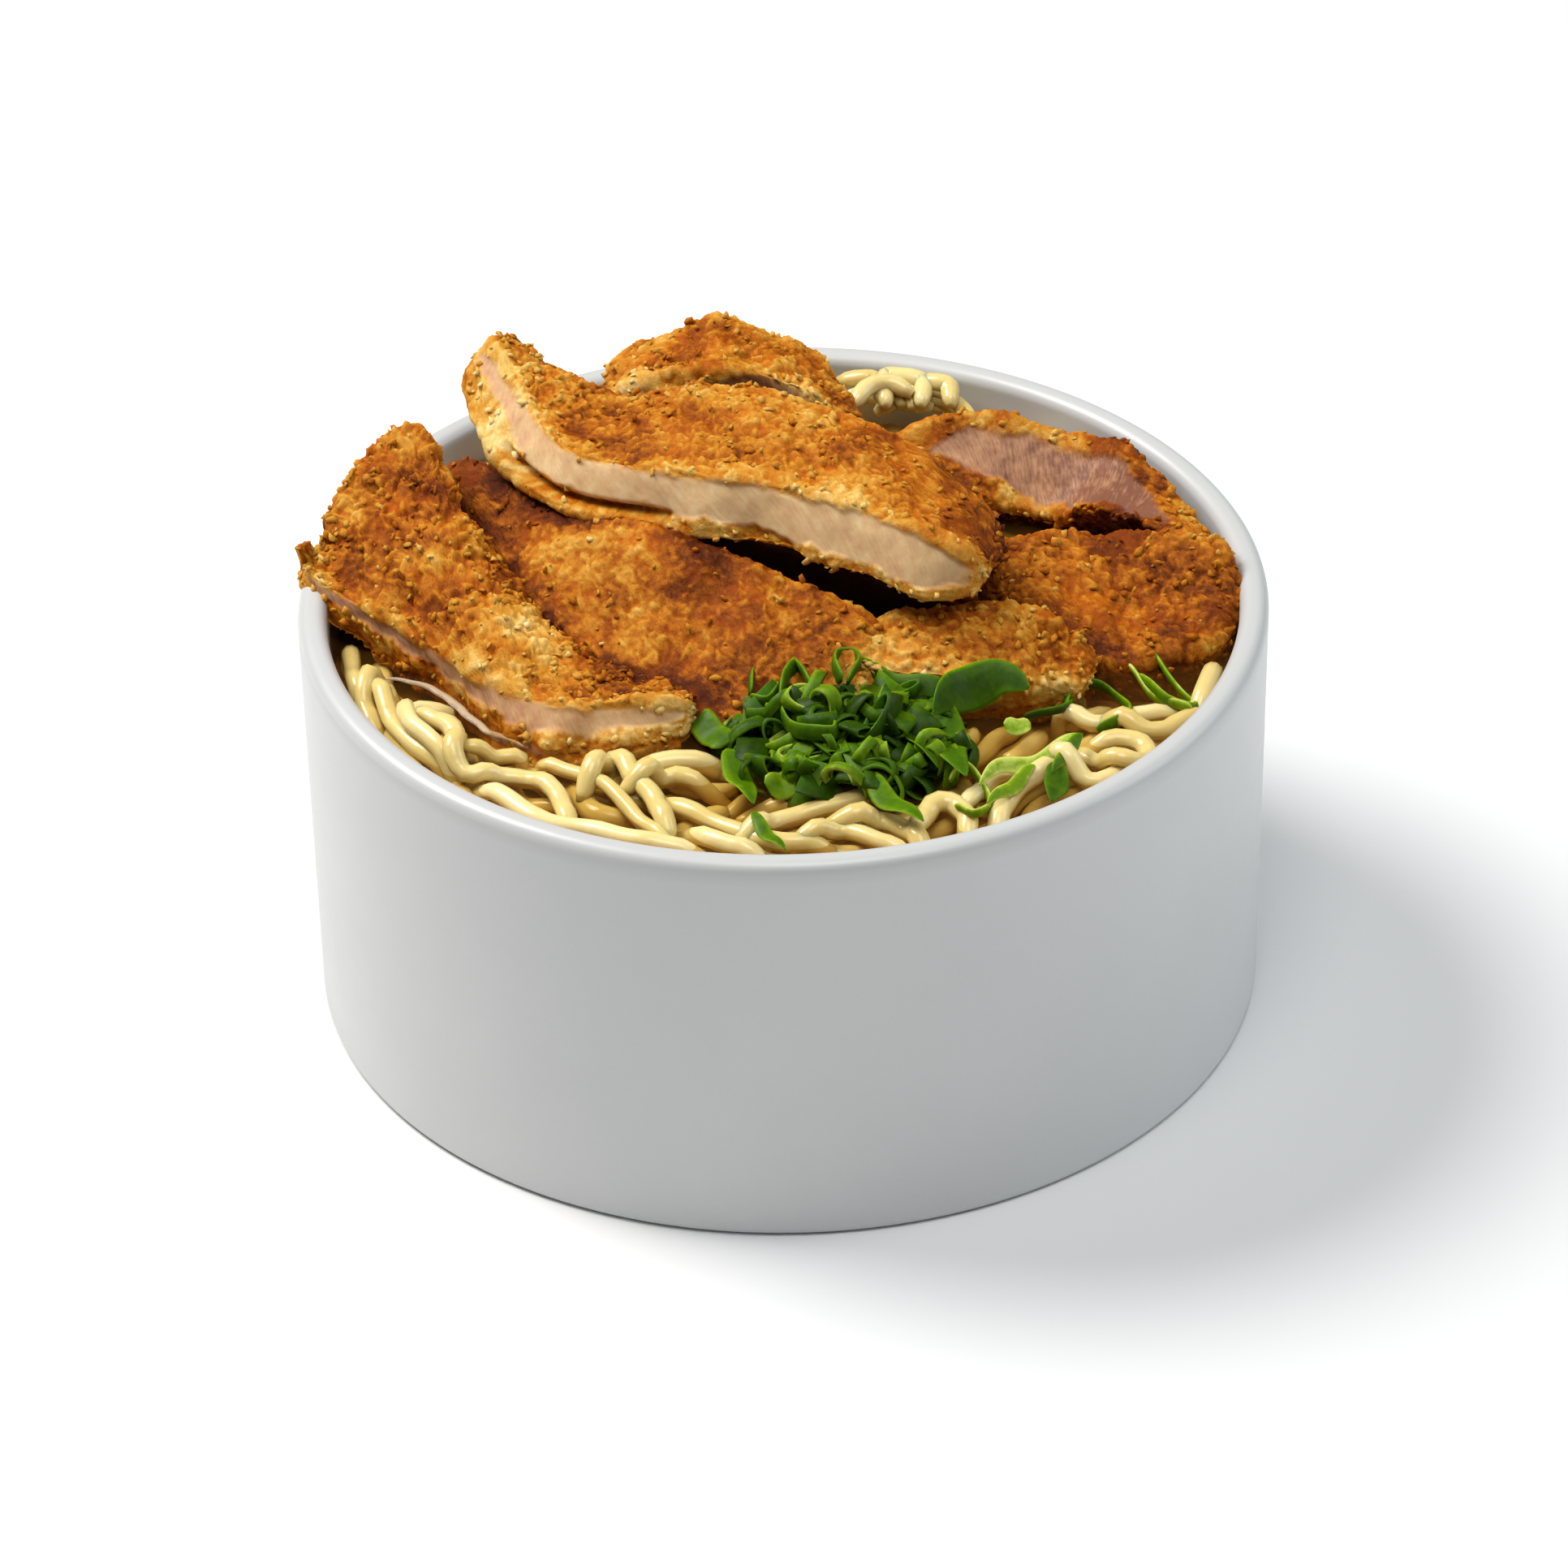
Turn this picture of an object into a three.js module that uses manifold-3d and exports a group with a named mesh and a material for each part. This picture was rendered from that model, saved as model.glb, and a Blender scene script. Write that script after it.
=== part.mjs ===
// Bowl of chicken katsu saimin: a straight-sided white bowl filled with broth and a heap of
// wheat noodles, with seven slices of crumbed fried chicken cutlet stacked on the noodles and a
// heap of sliced spring onion in front of them.
// Millimetres, +Z up. The origin is the centre of the bowl's foot, and -Y is the serving side.
import * as THREE from "three";
import { mergeVertices } from "three/addons/utils/BufferGeometryUtils.js";
import Module from "manifold-3d";

const wasm = await Module();
wasm.setup();

// Driving dimensions of the bowl.
const BOWL_RADIUS = 84;
const BOWL_HEIGHT = 77;
const WALL = 5;
const FLOOR = 6;
const TAPER = 1;
const INNER_TAPER = 2;
const LIP_RADIUS = 2.2;
const FOOT_EDGE_RADIUS = 1.6;
const FOOT_INNER_RADIUS = 66;
const FOOT_RECESS = 1.4;
const INNER_CORNER = 13;
const BOWL_SEGMENTS = 48;
const HEAP_SEGMENTS = 32;

// Driving dimensions of the food.
const BROTH_DEPTH_BELOW_RIM = 8.6;
const BROTH_LEVEL = BOWL_HEIGHT - BROTH_DEPTH_BELOW_RIM;
const CONTACT_GAP = 0.35;
const NOODLE_RADIUS = 1.8;
const NOODLE_SIDES = 6;
const NOODLE_HEAP_RADIUS = 75.6;
const NOODLE_HEAP_TOP = BROTH_LEVEL + 1.1;
const HEAP_UNEVENNESS = { size: 11, rise: 0.7 };
const HEAP_EDGE_WIDTH = 16;
const SCALLION_WALL = 1.1;
const SCALLION_SIDES = 7;

const MATERIALS = {
  bowl: { color: 0xe9ebee, roughness: 0.4, metalness: 0 },
  broth: { color: 0x8a5a1e, roughness: 0.08, metalness: 0 },
  noodles: { color: 0xe3cd8c, roughness: 0.35, metalness: 0 },
  crust: { color: 0xb87430, roughness: 0.75, metalness: 0 },
  scallions: { color: 0x3f8f22, roughness: 0.35, metalness: 0 },
};

// A repeatable pseudo-random number from 0 to 1 for a point of a lattice.
function lattice(x, y, z) {
  const s = Math.sin(x * 127.1 + y * 311.7 + z * 74.7) * 43758.5453;
  return s - Math.floor(s);
}

// Smooth noise from -1 to 1, with features about one unit across.
function noise(x, y, z) {
  const cell = [x, y, z].map(Math.floor);
  const part = [x - cell[0], y - cell[1], z - cell[2]].map((t) => t * t * (3 - 2 * t));
  let sum = 0;
  for (let corner = 0; corner < 8; corner++) {
    const step = [corner & 1, (corner >> 1) & 1, corner >> 2];
    const share = step.reduce((w, up, k) => w * (up ? part[k] : 1 - part[k]), 1);
    sum += share * lattice(cell[0] + step[0], cell[1] + step[1], cell[2] + step[2]);
  }
  return 2 * sum - 1;
}

// A seeded stream of numbers from 0 to 1.
function stream(seed) {
  let state = seed;
  return () => {
    state = (state * 1664525 + 1013904223) % 4294967296;
    return state / 4294967296;
  };
}

// The value at share s, from 0 to 1, of evenly spaced values, joined smoothly.
function along(values, s) {
  const place = s * (values.length - 1);
  const low = Math.min(Math.floor(place), values.length - 2);
  const t = place - low;
  return THREE.MathUtils.lerp(values[low], values[low + 1], t * t * (3 - 2 * t));
}

function arc(centreR, centreZ, radius, fromDeg, toDeg, steps) {
  return Array.from({ length: steps + 1 }, (_, i) => {
    const a = THREE.MathUtils.degToRad(fromDeg + ((toDeg - fromDeg) * i) / steps);
    return new THREE.Vector2(centreR + radius * Math.cos(a), centreZ + radius * Math.sin(a));
  });
}

function merged(geometry) {
  const bare = geometry.clone();
  bare.deleteAttribute("normal");
  bare.deleteAttribute("uv");
  return mergeVertices(bare, 1e-4);
}

function solid(geometry) {
  const closed = merged(geometry);
  return new wasm.Manifold(
    new wasm.Mesh({
      numProp: 3,
      vertProperties: closed.attributes.position.array,
      triVerts: new Uint32Array(closed.index.array),
    }),
  );
}

// The same closed surface moved outwards, for cutting a neighbour clear of it.
function grown(geometry, distance) {
  const closed = merged(geometry);
  closed.computeVertexNormals();
  const place = closed.attributes.position;
  const normal = closed.attributes.normal;
  for (let i = 0; i < place.count; i++) {
    place.setXYZ(
      i,
      place.getX(i) + normal.getX(i) * distance,
      place.getY(i) + normal.getY(i) * distance,
      place.getZ(i) + normal.getZ(i) * distance,
    );
  }
  return closed;
}

// The largest body alone, without the slivers that cutting leaves on its faces.
const SLIVER = 0.04;
function largest(body) {
  const bodies = body.decompose();
  return bodies.reduce((a, b) => (b.volume() > a.volume() ? b : a)).simplify(SLIVER);
}

function lathe(profile, segments) {
  return new THREE.LatheGeometry(profile, segments).rotateX(Math.PI / 2);
}

// The bowl's inner face, from the rim's inner edge down to the axis, moved inwards by inset.
function innerProfile(topZ, inset) {
  const bottomR = BOWL_RADIUS - WALL - INNER_TAPER;
  const floorZ = FLOOR + inset;
  const r = bottomR - inset;
  const topR = BOWL_RADIUS - WALL - inset - ((BOWL_HEIGHT - topZ) / BOWL_HEIGHT) * INNER_TAPER;
  return [
    new THREE.Vector2(topR, topZ),
    ...arc(r - INNER_CORNER, floorZ + INNER_CORNER, INNER_CORNER, 0, -90, 4),
    new THREE.Vector2(0, floorZ),
  ];
}

function bowl() {
  const footR = BOWL_RADIUS - TAPER;
  const outside = [
    new THREE.Vector2(0, FOOT_RECESS),
    new THREE.Vector2(FOOT_INNER_RADIUS - FOOT_RECESS, FOOT_RECESS),
    new THREE.Vector2(FOOT_INNER_RADIUS, 0),
    ...arc(footR - FOOT_EDGE_RADIUS, FOOT_EDGE_RADIUS, FOOT_EDGE_RADIUS, -90, 0, 3),
  ];
  const lipZ = BOWL_HEIGHT - LIP_RADIUS;
  const lip = [
    ...arc(BOWL_RADIUS - LIP_RADIUS, lipZ, LIP_RADIUS, 0, 90, 3),
    ...arc(BOWL_RADIUS - WALL + LIP_RADIUS, lipZ, LIP_RADIUS, 90, 180, 3),
  ];
  const inside = innerProfile(lipZ, 0).slice(1);
  return lathe([...outside, ...lip, ...inside], BOWL_SEGMENTS);
}

// Swells and hollows of the bare heap of noodles: x, y, radius and rise. The hollows are where
// the broth stands clear of the noodles.
const HEAP_SHAPES = [
  [21, 62, 20, 5.5],
  [-8, 52, 29, 3],
  [46, 46, 24, 2],
  [-60, 36, 22, -4],
  [-64, -17, 17, -4.5],
  [70, -17, 17, -4.5],
  [5, -40, 24, 1],
];

// Height of the bare heap at a point: a low mound in the bowl, uneven on top.
function heapHeight(x, y) {
  const { size, rise: unevenness } = HEAP_UNEVENNESS;
  const inward = THREE.MathUtils.smoothstep(NOODLE_HEAP_RADIUS - Math.hypot(x, y), 1, HEAP_EDGE_WIDTH);
  let z = NOODLE_HEAP_TOP + inward * unevenness * (1 + noise(x / size, y / size, 0));
  for (const [cx, cy, radius, rise] of HEAP_SHAPES) {
    const distance = Math.hypot(x - cx, y - cy) / radius;
    z += rise * (1 - THREE.MathUtils.smoothstep(distance, 0, 1));
  }
  return z;
}

// The bare heap fills the bowl from the floor up, like the noodles under the broth. Its side
// is rounded at the foot as radius and height, and its top is modelled in rings.
const HEAP_FOOT = [
  [0, FLOOR + CONTACT_GAP],
  [56, FLOOR + CONTACT_GAP],
  [69, FLOOR + 9],
  [NOODLE_HEAP_RADIUS, BROTH_LEVEL - 9],
];
const HEAP_RINGS = [NOODLE_HEAP_RADIUS - 1, 69, 62, 54, 45, 36, 27, 14, 0];
function noodleHeap() {
  const side = HEAP_FOOT.map(([r, z]) => new THREE.Vector2(r, z));
  const top = HEAP_RINGS.map((r) => new THREE.Vector2(r, NOODLE_HEAP_TOP));
  const heap = merged(lathe([...side, ...top], HEAP_SEGMENTS));
  const place = heap.attributes.position;
  for (let i = 0; i < place.count; i++) {
    if (place.getZ(i) > BROTH_LEVEL) place.setZ(i, heapHeight(place.getX(i), place.getY(i)));
  }
  return heap;
}

// The slices of cutlet. Front and back are the two long edges of a slice's upper crust, as
// x, y and the height above the rim; the face below the front edge is the one that was cut.
// Thickness runs down from the upper crust, from the slice's left end to its right, and lean
// is how far the foot of the cut face stands forward of its top.
const SLICES = {
  katsu_top: {
    front: [
      [-52, 50, 24], [-46, 36, 22], [-38, 18, 19.5], [-18, 8, 20],
      [3, -1, 21], [20, -10, 20], [36, -18, 16],
    ],
    back: [
      [-47, 53, 23], [-39, 44, 20.5], [-28, 39, 18.5], [-12, 35, 22.5],
      [3, 29, 23], [20, 21, 20], [42, 1, 14],
    ],
    thickness: [8, 9, 10, 10.5, 11, 11, 10],
    lean: [7, 7, 5, 5, 5, 5, 2],
  },
  katsu_left: {
    front: [
      [-85, 7, 3], [-79, 1, 2], [-69, -7, 0], [-57, -19, -1],
      [-45, -30, -1], [-35, -33, -1], [-25, -32, -1], [-14, -31, -2],
    ],
    back: [
      [-79, 10, 5], [-77, 21, 9], [-71, 29, 16], [-63, 30, 18],
      [-53, 12, 8], [-42, -6, 1], [-31, -18, -2], [-14, -26, -3],
    ],
    thickness: [4, 7, 9, 10, 11, 11, 10, 8],
    lean: [2, 5, 6, 7, 8, 6, 4, 2],
  },
  katsu_front: {
    front: [
      [-60, 27, 3], [-47, 2, 0], [-38, -10, -2], [-25, -24, -5],
      [-9, -33, -6], [4, -32, -6], [17, -26, -4],
    ],
    back: [
      [-62, 40, 5], [-50, 29, 10], [-37, 15, 12], [-22, 4, 13],
      [-8, -2, 11], [5, -8, 7], [18, -14, 3],
    ],
    thickness: [8, 11, 13, 13, 12, 11, 9],
    lean: [0, 0],
  },
  katsu_front_end: {
    front: [
      [8, -23, -1], [20, -25, -1], [33, -26, -2], [44, -26, -4],
      [53, -24, -5],
    ],
    back: [
      [8, -12, 3], [20, -11, 4], [33, -12, 5], [44, -14, 4],
      [54, -19, 0],
    ],
    thickness: [9, 10, 10, 9, 7],
    lean: [3, 3],
  },
  katsu_back: {
    front: [
      [-32, 45, 13], [-18, 45, 18], [-4, 44, 18], [8, 41, 14],
      [14, 38, 8],
    ],
    back: [
      [-33, 59, 9], [-20, 65, 15], [-6, 67, 17], [8, 63, 12],
      [16, 54, 4],
    ],
    thickness: [14, 18, 19, 18, 12],
    lean: [0, 0],
  },
  katsu_right_back: {
    front: [
      [15, 38, 5], [28, 45, 7.5], [40, 46, 8], [52, 42, 6],
      [62, 37, 6], [70, 28, 2.5], [76, 13, 0],
    ],
    back: [
      [17, 53, -5], [30, 58, -4], [42, 57, -3], [51, 53, -4],
      [59, 46, -5], [65, 38, -7], [70, 27, -8],
    ],
    thickness: [10, 15, 18, 18, 18, 15, 8],
    lean: [2, 2, 2, 2, 2, 1, 0],
  },
  katsu_right: {
    front: [
      [38, -10, -3], [49, -14, -4], [60, -16, -6], [70, -13, -6],
      [78, -8, -6],
    ],
    back: [
      [34, 11, 4], [48, 15, 3], [61, 15, 2], [71, 13, 5],
      [79, 5, 3],
    ],
    thickness: [10, 13, 13, 12, 10],
    lean: [3, 3],
  },
};
const SLICE_STEPS = 21;
const SLICE_ACROSS = 5;
const SLICE_DEEP = 2;
const CRUST_ROUNDING = 0.4;
const CUT_ROUNDING = 0.12;
const END_TAPER = 0.15;
const END_SIZE = 0.5;
const EDGE_SHARE = 0.99;
const CRAG_SIZE = 5;
const CRAG_HEIGHT = 1;
const LUMP_SIZE = 13;
const LUMP_HEIGHT = 1.2;
const CUT_FACE_RELIEF = 0.25;

function rail(points) {
  return new THREE.CatmullRomCurve3(points.map(([x, y, h]) => new THREE.Vector3(x, y, h + BOWL_HEIGHT)));
}

// One slice: a box bent along its two edges, with round corners and ends and a craggy crust.
function slice({ front, back, thickness, lean }, seed) {
  const [frontRail, backRail] = [rail(front), rail(back)];
  const box = merged(new THREE.BoxGeometry(1, 2, 2, SLICE_STEPS, SLICE_ACROSS, SLICE_DEEP));
  const place = box.attributes.position;
  for (let i = 0; i < place.count; i++) {
    const s = place.getX(i) + 0.5;
    const [across, up] = [place.getY(i), place.getZ(i)];
    const nearEnd = Math.min(s, 1 - s, END_TAPER) / END_TAPER;
    const taper = END_SIZE + (1 - END_SIZE) * Math.sqrt(1 - (1 - nearEnd) ** 2);
    const rounding = across > 0 ? CRUST_ROUNDING : CUT_ROUNDING;
    const v = -across * Math.sqrt(1 - (rounding * up * up) / 2) * taper;
    const w = up * Math.sqrt(1 - (rounding * across * across) / 2) * taper;
    const [f, b] = [frontRail.getPoint(s), backRail.getPoint(s)];
    const side = f.clone().sub(b).multiplyScalar(0.5);
    const forward = side.clone().normalize();
    const shift = along(lean, s) * Math.max(0, -across) * ((1 - up) / 2) * taper;
    const tangent = backRail.getTangent(s).add(frontRail.getTangent(s)).normalize();
    const upward = side.clone().cross(tangent).normalize();
    const half = along(thickness, s) / 2;
    const centre = b.clone().add(side).addScaledVector(upward, -half);
    const out = side.multiplyScalar(v).addScaledVector(upward, w * half);
    const point = centre.add(out).addScaledVector(forward, shift);
    const onCutFace = across < -EDGE_SHARE && Math.abs(up) < EDGE_SHARE;
    const relief = onCutFace ? CUT_FACE_RELIEF : 1;
    const crag = noise(point.x / CRAG_SIZE + seed, point.y / CRAG_SIZE, point.z / CRAG_SIZE);
    const lump = noise(point.x / LUMP_SIZE, point.y / LUMP_SIZE + seed, point.z / LUMP_SIZE);
    point.addScaledVector(out.normalize(), relief * (CRAG_HEIGHT * crag + LUMP_HEIGHT * lump));
    place.setXYZ(i, point.x, point.y, point.z);
  }
  return box;
}

// A tube with a polygon section, along a path.
function tube(path, radius, sides, steps) {
  const shape = new THREE.Shape(
    Array.from({ length: sides }, (_, k) => {
      const a = (2 * Math.PI * k) / sides;
      return new THREE.Vector2(radius * Math.cos(a), radius * Math.sin(a));
    }),
  );
  return new THREE.ExtrudeGeometry(shape, { extrudePath: path, steps, bevelEnabled: false });
}

// One noodle on the heap: it follows an arc of the bowl in slow waves, and rises and dips.
const NOODLE_STEPS = 16;
const NOODLE_SWING = 3;
const NOODLE_MARGIN = 3;
const SWAY = { least: 7, spread: 3 };
const BOB = { middle: 0.6, swing: 0.3, waves: 9 };
function noodle(random, radius, fromDeg, toDeg) {
  const phase = 2 * Math.PI * random();
  const waves = SWAY.least + SWAY.spread * random();
  const points = Array.from({ length: NOODLE_STEPS + 1 }, (_, i) => {
    const t = i / NOODLE_STEPS;
    const a = THREE.MathUtils.degToRad(THREE.MathUtils.lerp(fromDeg, toDeg, t));
    const swung = radius + NOODLE_SWING * Math.sin(phase + waves * t);
    const r = Math.min(swung, NOODLE_HEAP_RADIUS - NOODLE_MARGIN);
    const [x, y] = [r * Math.cos(a), r * Math.sin(a)];
    const lift = NOODLE_RADIUS * (BOB.middle + BOB.swing * Math.sin(2 * phase + BOB.waves * t));
    return new THREE.Vector3(x, y, Math.max(heapHeight(x, y), NOODLE_HEAP_TOP) + lift);
  });
  return tube(new THREE.CatmullRomCurve3(points), NOODLE_RADIUS, NOODLE_SIDES, NOODLE_STEPS);
}

// The heap of sliced spring onion: a low dome that leans on the front slice, with rings on it.
const SCALLION_HEAP = { x: 12, y: -39, halfX: 26, halfY: 21, lift: 2, rise: 5.5, lean: 0.34 };
const DOME_SIDES = 16;
const DOME_BUMP = { perRadius: 3, height: 0.2 };

function scallionBase(y) {
  return NOODLE_HEAP_TOP + SCALLION_HEAP.lift + SCALLION_HEAP.lean * (y - SCALLION_HEAP.y);
}

function scallionDome() {
  const { perRadius, height } = DOME_BUMP;
  const sphere = new THREE.SphereGeometry(1, DOME_SIDES, DOME_SIDES / 2);
  const dome = merged(sphere.rotateX(Math.PI / 2));
  const place = dome.attributes.position;
  for (let i = 0; i < place.count; i++) {
    const [u, v, w] = [place.getX(i), place.getY(i), place.getZ(i)];
    const y = SCALLION_HEAP.y + SCALLION_HEAP.halfY * v;
    const bump = 1 + height * noise(perRadius * u, perRadius * v, perRadius * w);
    const x = SCALLION_HEAP.x + SCALLION_HEAP.halfX * u * bump;
    place.setXYZ(i, x, y, scallionBase(y) + SCALLION_HEAP.rise * w * bump);
  }
  return dome;
}

// One ring: it is pressed flat a little, tipped at random and half sunk in the dome.
const RING = { radius: 3, spread: 2, flattest: 0.45, depth: 2, tip: 0.6, share: 0.9, sunk: 1 };
function scallionRing(random) {
  const radius = RING.radius + RING.spread * random();
  const flat = radius * RING.flattest * random();
  const outline = (size) =>
    Array.from({ length: SCALLION_SIDES }, (_, k) => {
      const a = (2 * Math.PI * k) / SCALLION_SIDES;
      return new THREE.Vector2(size * Math.cos(a), (size - flat) * Math.sin(a));
    });
  const shape = new THREE.Shape(outline(radius));
  shape.holes.push(new THREE.Path(outline(radius - SCALLION_WALL)));
  const depth = RING.depth * (1 + random());
  const ring = new THREE.ExtrudeGeometry(shape, { depth, bevelEnabled: false });
  const a = 2 * Math.PI * random();
  const share = Math.sqrt(random()) * RING.share;
  const x = SCALLION_HEAP.x + SCALLION_HEAP.halfX * share * Math.cos(a);
  const y = SCALLION_HEAP.y + SCALLION_HEAP.halfY * share * Math.sin(a);
  const top = scallionBase(y) + SCALLION_HEAP.rise * Math.sqrt(1 - share * share);
  const tip = () => RING.tip * (2 * random() - 1);
  return ring
    .rotateX(tip())
    .rotateY(tip())
    .rotateZ(Math.PI * random())
    .translate(x, y, top - RING.sunk);
}

// Food stays clear of the bowl: a block round its wall, larger by the contact gap.
function bowlClearance() {
  const [rim, corner] = innerProfile(BOWL_HEIGHT, CONTACT_GAP);
  const top = BOWL_HEIGHT + CONTACT_GAP;
  const outer = BOWL_RADIUS + WALL;
  const outline = [
    [corner.x, corner.y],
    [outer, corner.y],
    [outer, top],
    [rim.x, top],
    [corner.x, corner.y],
  ];
  return lathe(outline.map(([r, z]) => new THREE.Vector2(r, z)), BOWL_SEGMENTS);
}

function brothBlock() {
  const outline = [new THREE.Vector2(0, BROTH_LEVEL), ...innerProfile(BROTH_LEVEL, CONTACT_GAP)];
  return lathe(outline.reverse(), BOWL_SEGMENTS);
}

function cutBy(body, others) {
  return others.reduce((rest, other) => rest.subtract(other), body);
}

function crosses(body, others) {
  return others.some((other) => body.intersect(other).volume() > 0);
}

const heapShape = noodleHeap();
const heapClearance = solid(grown(heapShape, CONTACT_GAP));
const wall = solid(bowlClearance());

// Slices laid first keep their shape, and each later one is cut clear of those before it.
const slices = {};
const laid = [];
Object.entries(SLICES).forEach(([name, shape], i) => {
  const geometry = slice(shape, 10 * i);
  slices[name] = largest(cutBy(solid(geometry), [heapClearance, wall, ...laid]));
  laid.push(solid(grown(geometry, CONTACT_GAP)));
});

const broth = largest(cutBy(solid(brothBlock()), [heapClearance, ...laid]));

// Spring onion: rings are fused on the dome one by one. Any that would cross a slice, the
// noodles or an earlier ring is left out.
const SCALLION_TRIES = 60;
const scallionShape = scallionDome();
let scallions = cutBy(solid(scallionShape), [heapClearance, ...laid]);
const scatter = stream(7);
const rings = [];
for (let i = 0; i < SCALLION_TRIES; i++) {
  const ring = solid(scallionRing(scatter));
  if (crosses(ring, [heapClearance, ...laid, ...rings])) continue;
  rings.push(ring);
  scallions = scallions.add(ring);
}
scallions = largest(scallions);

// Noodles on top of the heap: radius of the arc and its two ends in degrees, with 0 at +X.
const NOODLE_ARCS = [
  [70, -152, -120],
  [54, -128, -100],
  [68, -126, -92],
  [61, -110, -80],
  [69, -94, -66],
  [65.5, -73, -46],
  [70, -66, -36],
  [62, -52, -28],
  [71, 58, 84],
];
const scallionClearance = solid(grown(scallionShape, CONTACT_GAP));
const strew = stream(3);
let noodles = solid(heapShape);
for (const [radius, fromDeg, toDeg] of NOODLE_ARCS) {
  const strand = solid(noodle(strew, radius, fromDeg, toDeg));
  if (!crosses(strand, [broth, wall, scallionClearance, ...rings, ...laid])) noodles = noodles.add(strand);
}
noodles = largest(noodles);

function geometryOf(body) {
  const mesh = body.getMesh();
  const geometry = new THREE.BufferGeometry();
  geometry.setAttribute("position", new THREE.BufferAttribute(new Float32Array(mesh.vertProperties), 3));
  geometry.setIndex(Array.from(mesh.triVerts));
  geometry.computeVertexNormals();
  return geometry;
}

function part(name, geometry, finish) {
  const mesh = new THREE.Mesh(geometry, new THREE.MeshStandardMaterial(MATERIALS[finish]));
  mesh.name = name;
  return mesh;
}

const saimin = new THREE.Group();
saimin.name = "katsu_saimin_bowl";
saimin.add(part("bowl", bowl(), "bowl"));
saimin.add(part("broth", geometryOf(broth), "broth"));
saimin.add(part("noodles", geometryOf(noodles), "noodles"));
saimin.add(part("scallions", geometryOf(scallions), "scallions"));
for (const [name, body] of Object.entries(slices)) saimin.add(part(name, geometryOf(body), "crust"));

export default saimin;
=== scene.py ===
"""Looks of the bowl of chicken katsu saimin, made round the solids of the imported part.

Shapes are worked out in millimetres, in the frame of the part: the origin is the centre of the
bowl's foot, +Z is up and -Y is the serving side. They turn into metres when a mesh is made.
"""
import math

import bmesh
import bpy
import numpy as np
from mathutils import Matrix, Vector
from mathutils.kdtree import KDTree


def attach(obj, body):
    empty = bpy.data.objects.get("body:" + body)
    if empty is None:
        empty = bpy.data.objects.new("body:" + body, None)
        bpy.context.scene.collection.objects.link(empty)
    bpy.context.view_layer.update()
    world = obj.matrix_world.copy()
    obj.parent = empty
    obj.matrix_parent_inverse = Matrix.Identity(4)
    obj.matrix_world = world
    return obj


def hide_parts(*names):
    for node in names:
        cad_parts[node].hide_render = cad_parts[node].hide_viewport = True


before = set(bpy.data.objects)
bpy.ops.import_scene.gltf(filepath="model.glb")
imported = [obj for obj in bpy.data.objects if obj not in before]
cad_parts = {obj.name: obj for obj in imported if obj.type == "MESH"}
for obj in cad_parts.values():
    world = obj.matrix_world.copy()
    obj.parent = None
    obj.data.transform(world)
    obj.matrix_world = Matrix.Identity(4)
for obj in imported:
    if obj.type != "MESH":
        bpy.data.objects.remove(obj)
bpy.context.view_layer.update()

MM = 0.001

# Driving dimensions of the bowl, the same as those of the solids.
BOWL_RADIUS = 84
BOWL_HEIGHT = 77
WALL = 5
FLOOR = 6
TAPER = 1
INNER_TAPER = 2
LIP_RADIUS = 2.2
FOOT_EDGE_RADIUS = 1.6
FOOT_INNER_RADIUS = 66
FOOT_RECESS = 1.4
FOOT_RING = 8
INNER_CORNER = 13
BROTH_LEVEL = BOWL_HEIGHT - 8.6

# The photograph's camera, and its frame in pixels.
PHOTO_SIZE = 1932
FOCAL_PIXELS = 9843.6
SENSOR_WIDTH = 36
CAMERA_PLACE = np.array([0.0, -1165.742, 820.353])
CAMERA_AHEAD = np.array([-0.00032887, 0.8299576, -0.5578264])
CAMERA_RIGHT = np.array([0.99981195, -0.01054309, -0.0162759])
CAMERA_UP = np.array([0.01938952, 0.55772684, 0.82979806])


def from_photo(pixels, height):
    """Points in millimetres at a height above the table, seen at these pixels."""
    right, down = (np.asarray(pixels, float) - PHOTO_SIZE / 2).T
    ray = CAMERA_AHEAD * FOCAL_PIXELS + np.outer(right, CAMERA_RIGHT) - np.outer(down, CAMERA_UP)
    reach = (height - CAMERA_PLACE[2]) / ray[:, 2]
    return CAMERA_PLACE + reach[:, None] * ray


# Noise and curves

# Large odd numbers, some with a shift in bits, that stir up the numbers of a lattice's cells.
CELL_STIRRERS = (73856093, 19349663, 83492791)
SEED_STIRRER = 668265263
BIT_STIRRERS = ((15, 2246822519), (13, 3266489917))
ALL_BITS = 0xFFFFFFFF


def smoothstep(low, high, value):
    t = np.clip((value - low) / (high - low), 0, 1)
    return t * t * (3 - 2 * t)


def lattice(cell, seed):
    """Repeatable numbers from 0 to 1 for cells of a lattice, given as whole numbers."""
    mixed = seed * SEED_STIRRER
    for axis, stirrer in enumerate(CELL_STIRRERS):
        mixed = mixed ^ (cell[..., axis] * stirrer)
    mixed = mixed & ALL_BITS
    for shift, stirrer in BIT_STIRRERS * 2:
        mixed = ((mixed ^ (mixed >> shift)) * stirrer) & ALL_BITS
    return (mixed ^ (mixed >> 16)) / ALL_BITS


def noise(points, size, seed):
    """Smooth noise from -1 to 1, with features about size across."""
    place = points / size
    cell = np.floor(place).astype(np.int64)
    t = place - cell
    t = t * t * (3 - 2 * t)
    total = 0
    for corner in np.ndindex(2, 2, 2):
        share = np.prod(np.where(corner, t, 1 - t), axis=-1)
        total = total + share * lattice(cell + np.array(corner), seed)
    return 2 * total - 1


def layered(points, layers, seed):
    """Noise in layers, each with the size of its features and its height."""
    return sum(height * noise(points, size, seed + k) for k, (size, height) in enumerate(layers))


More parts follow.
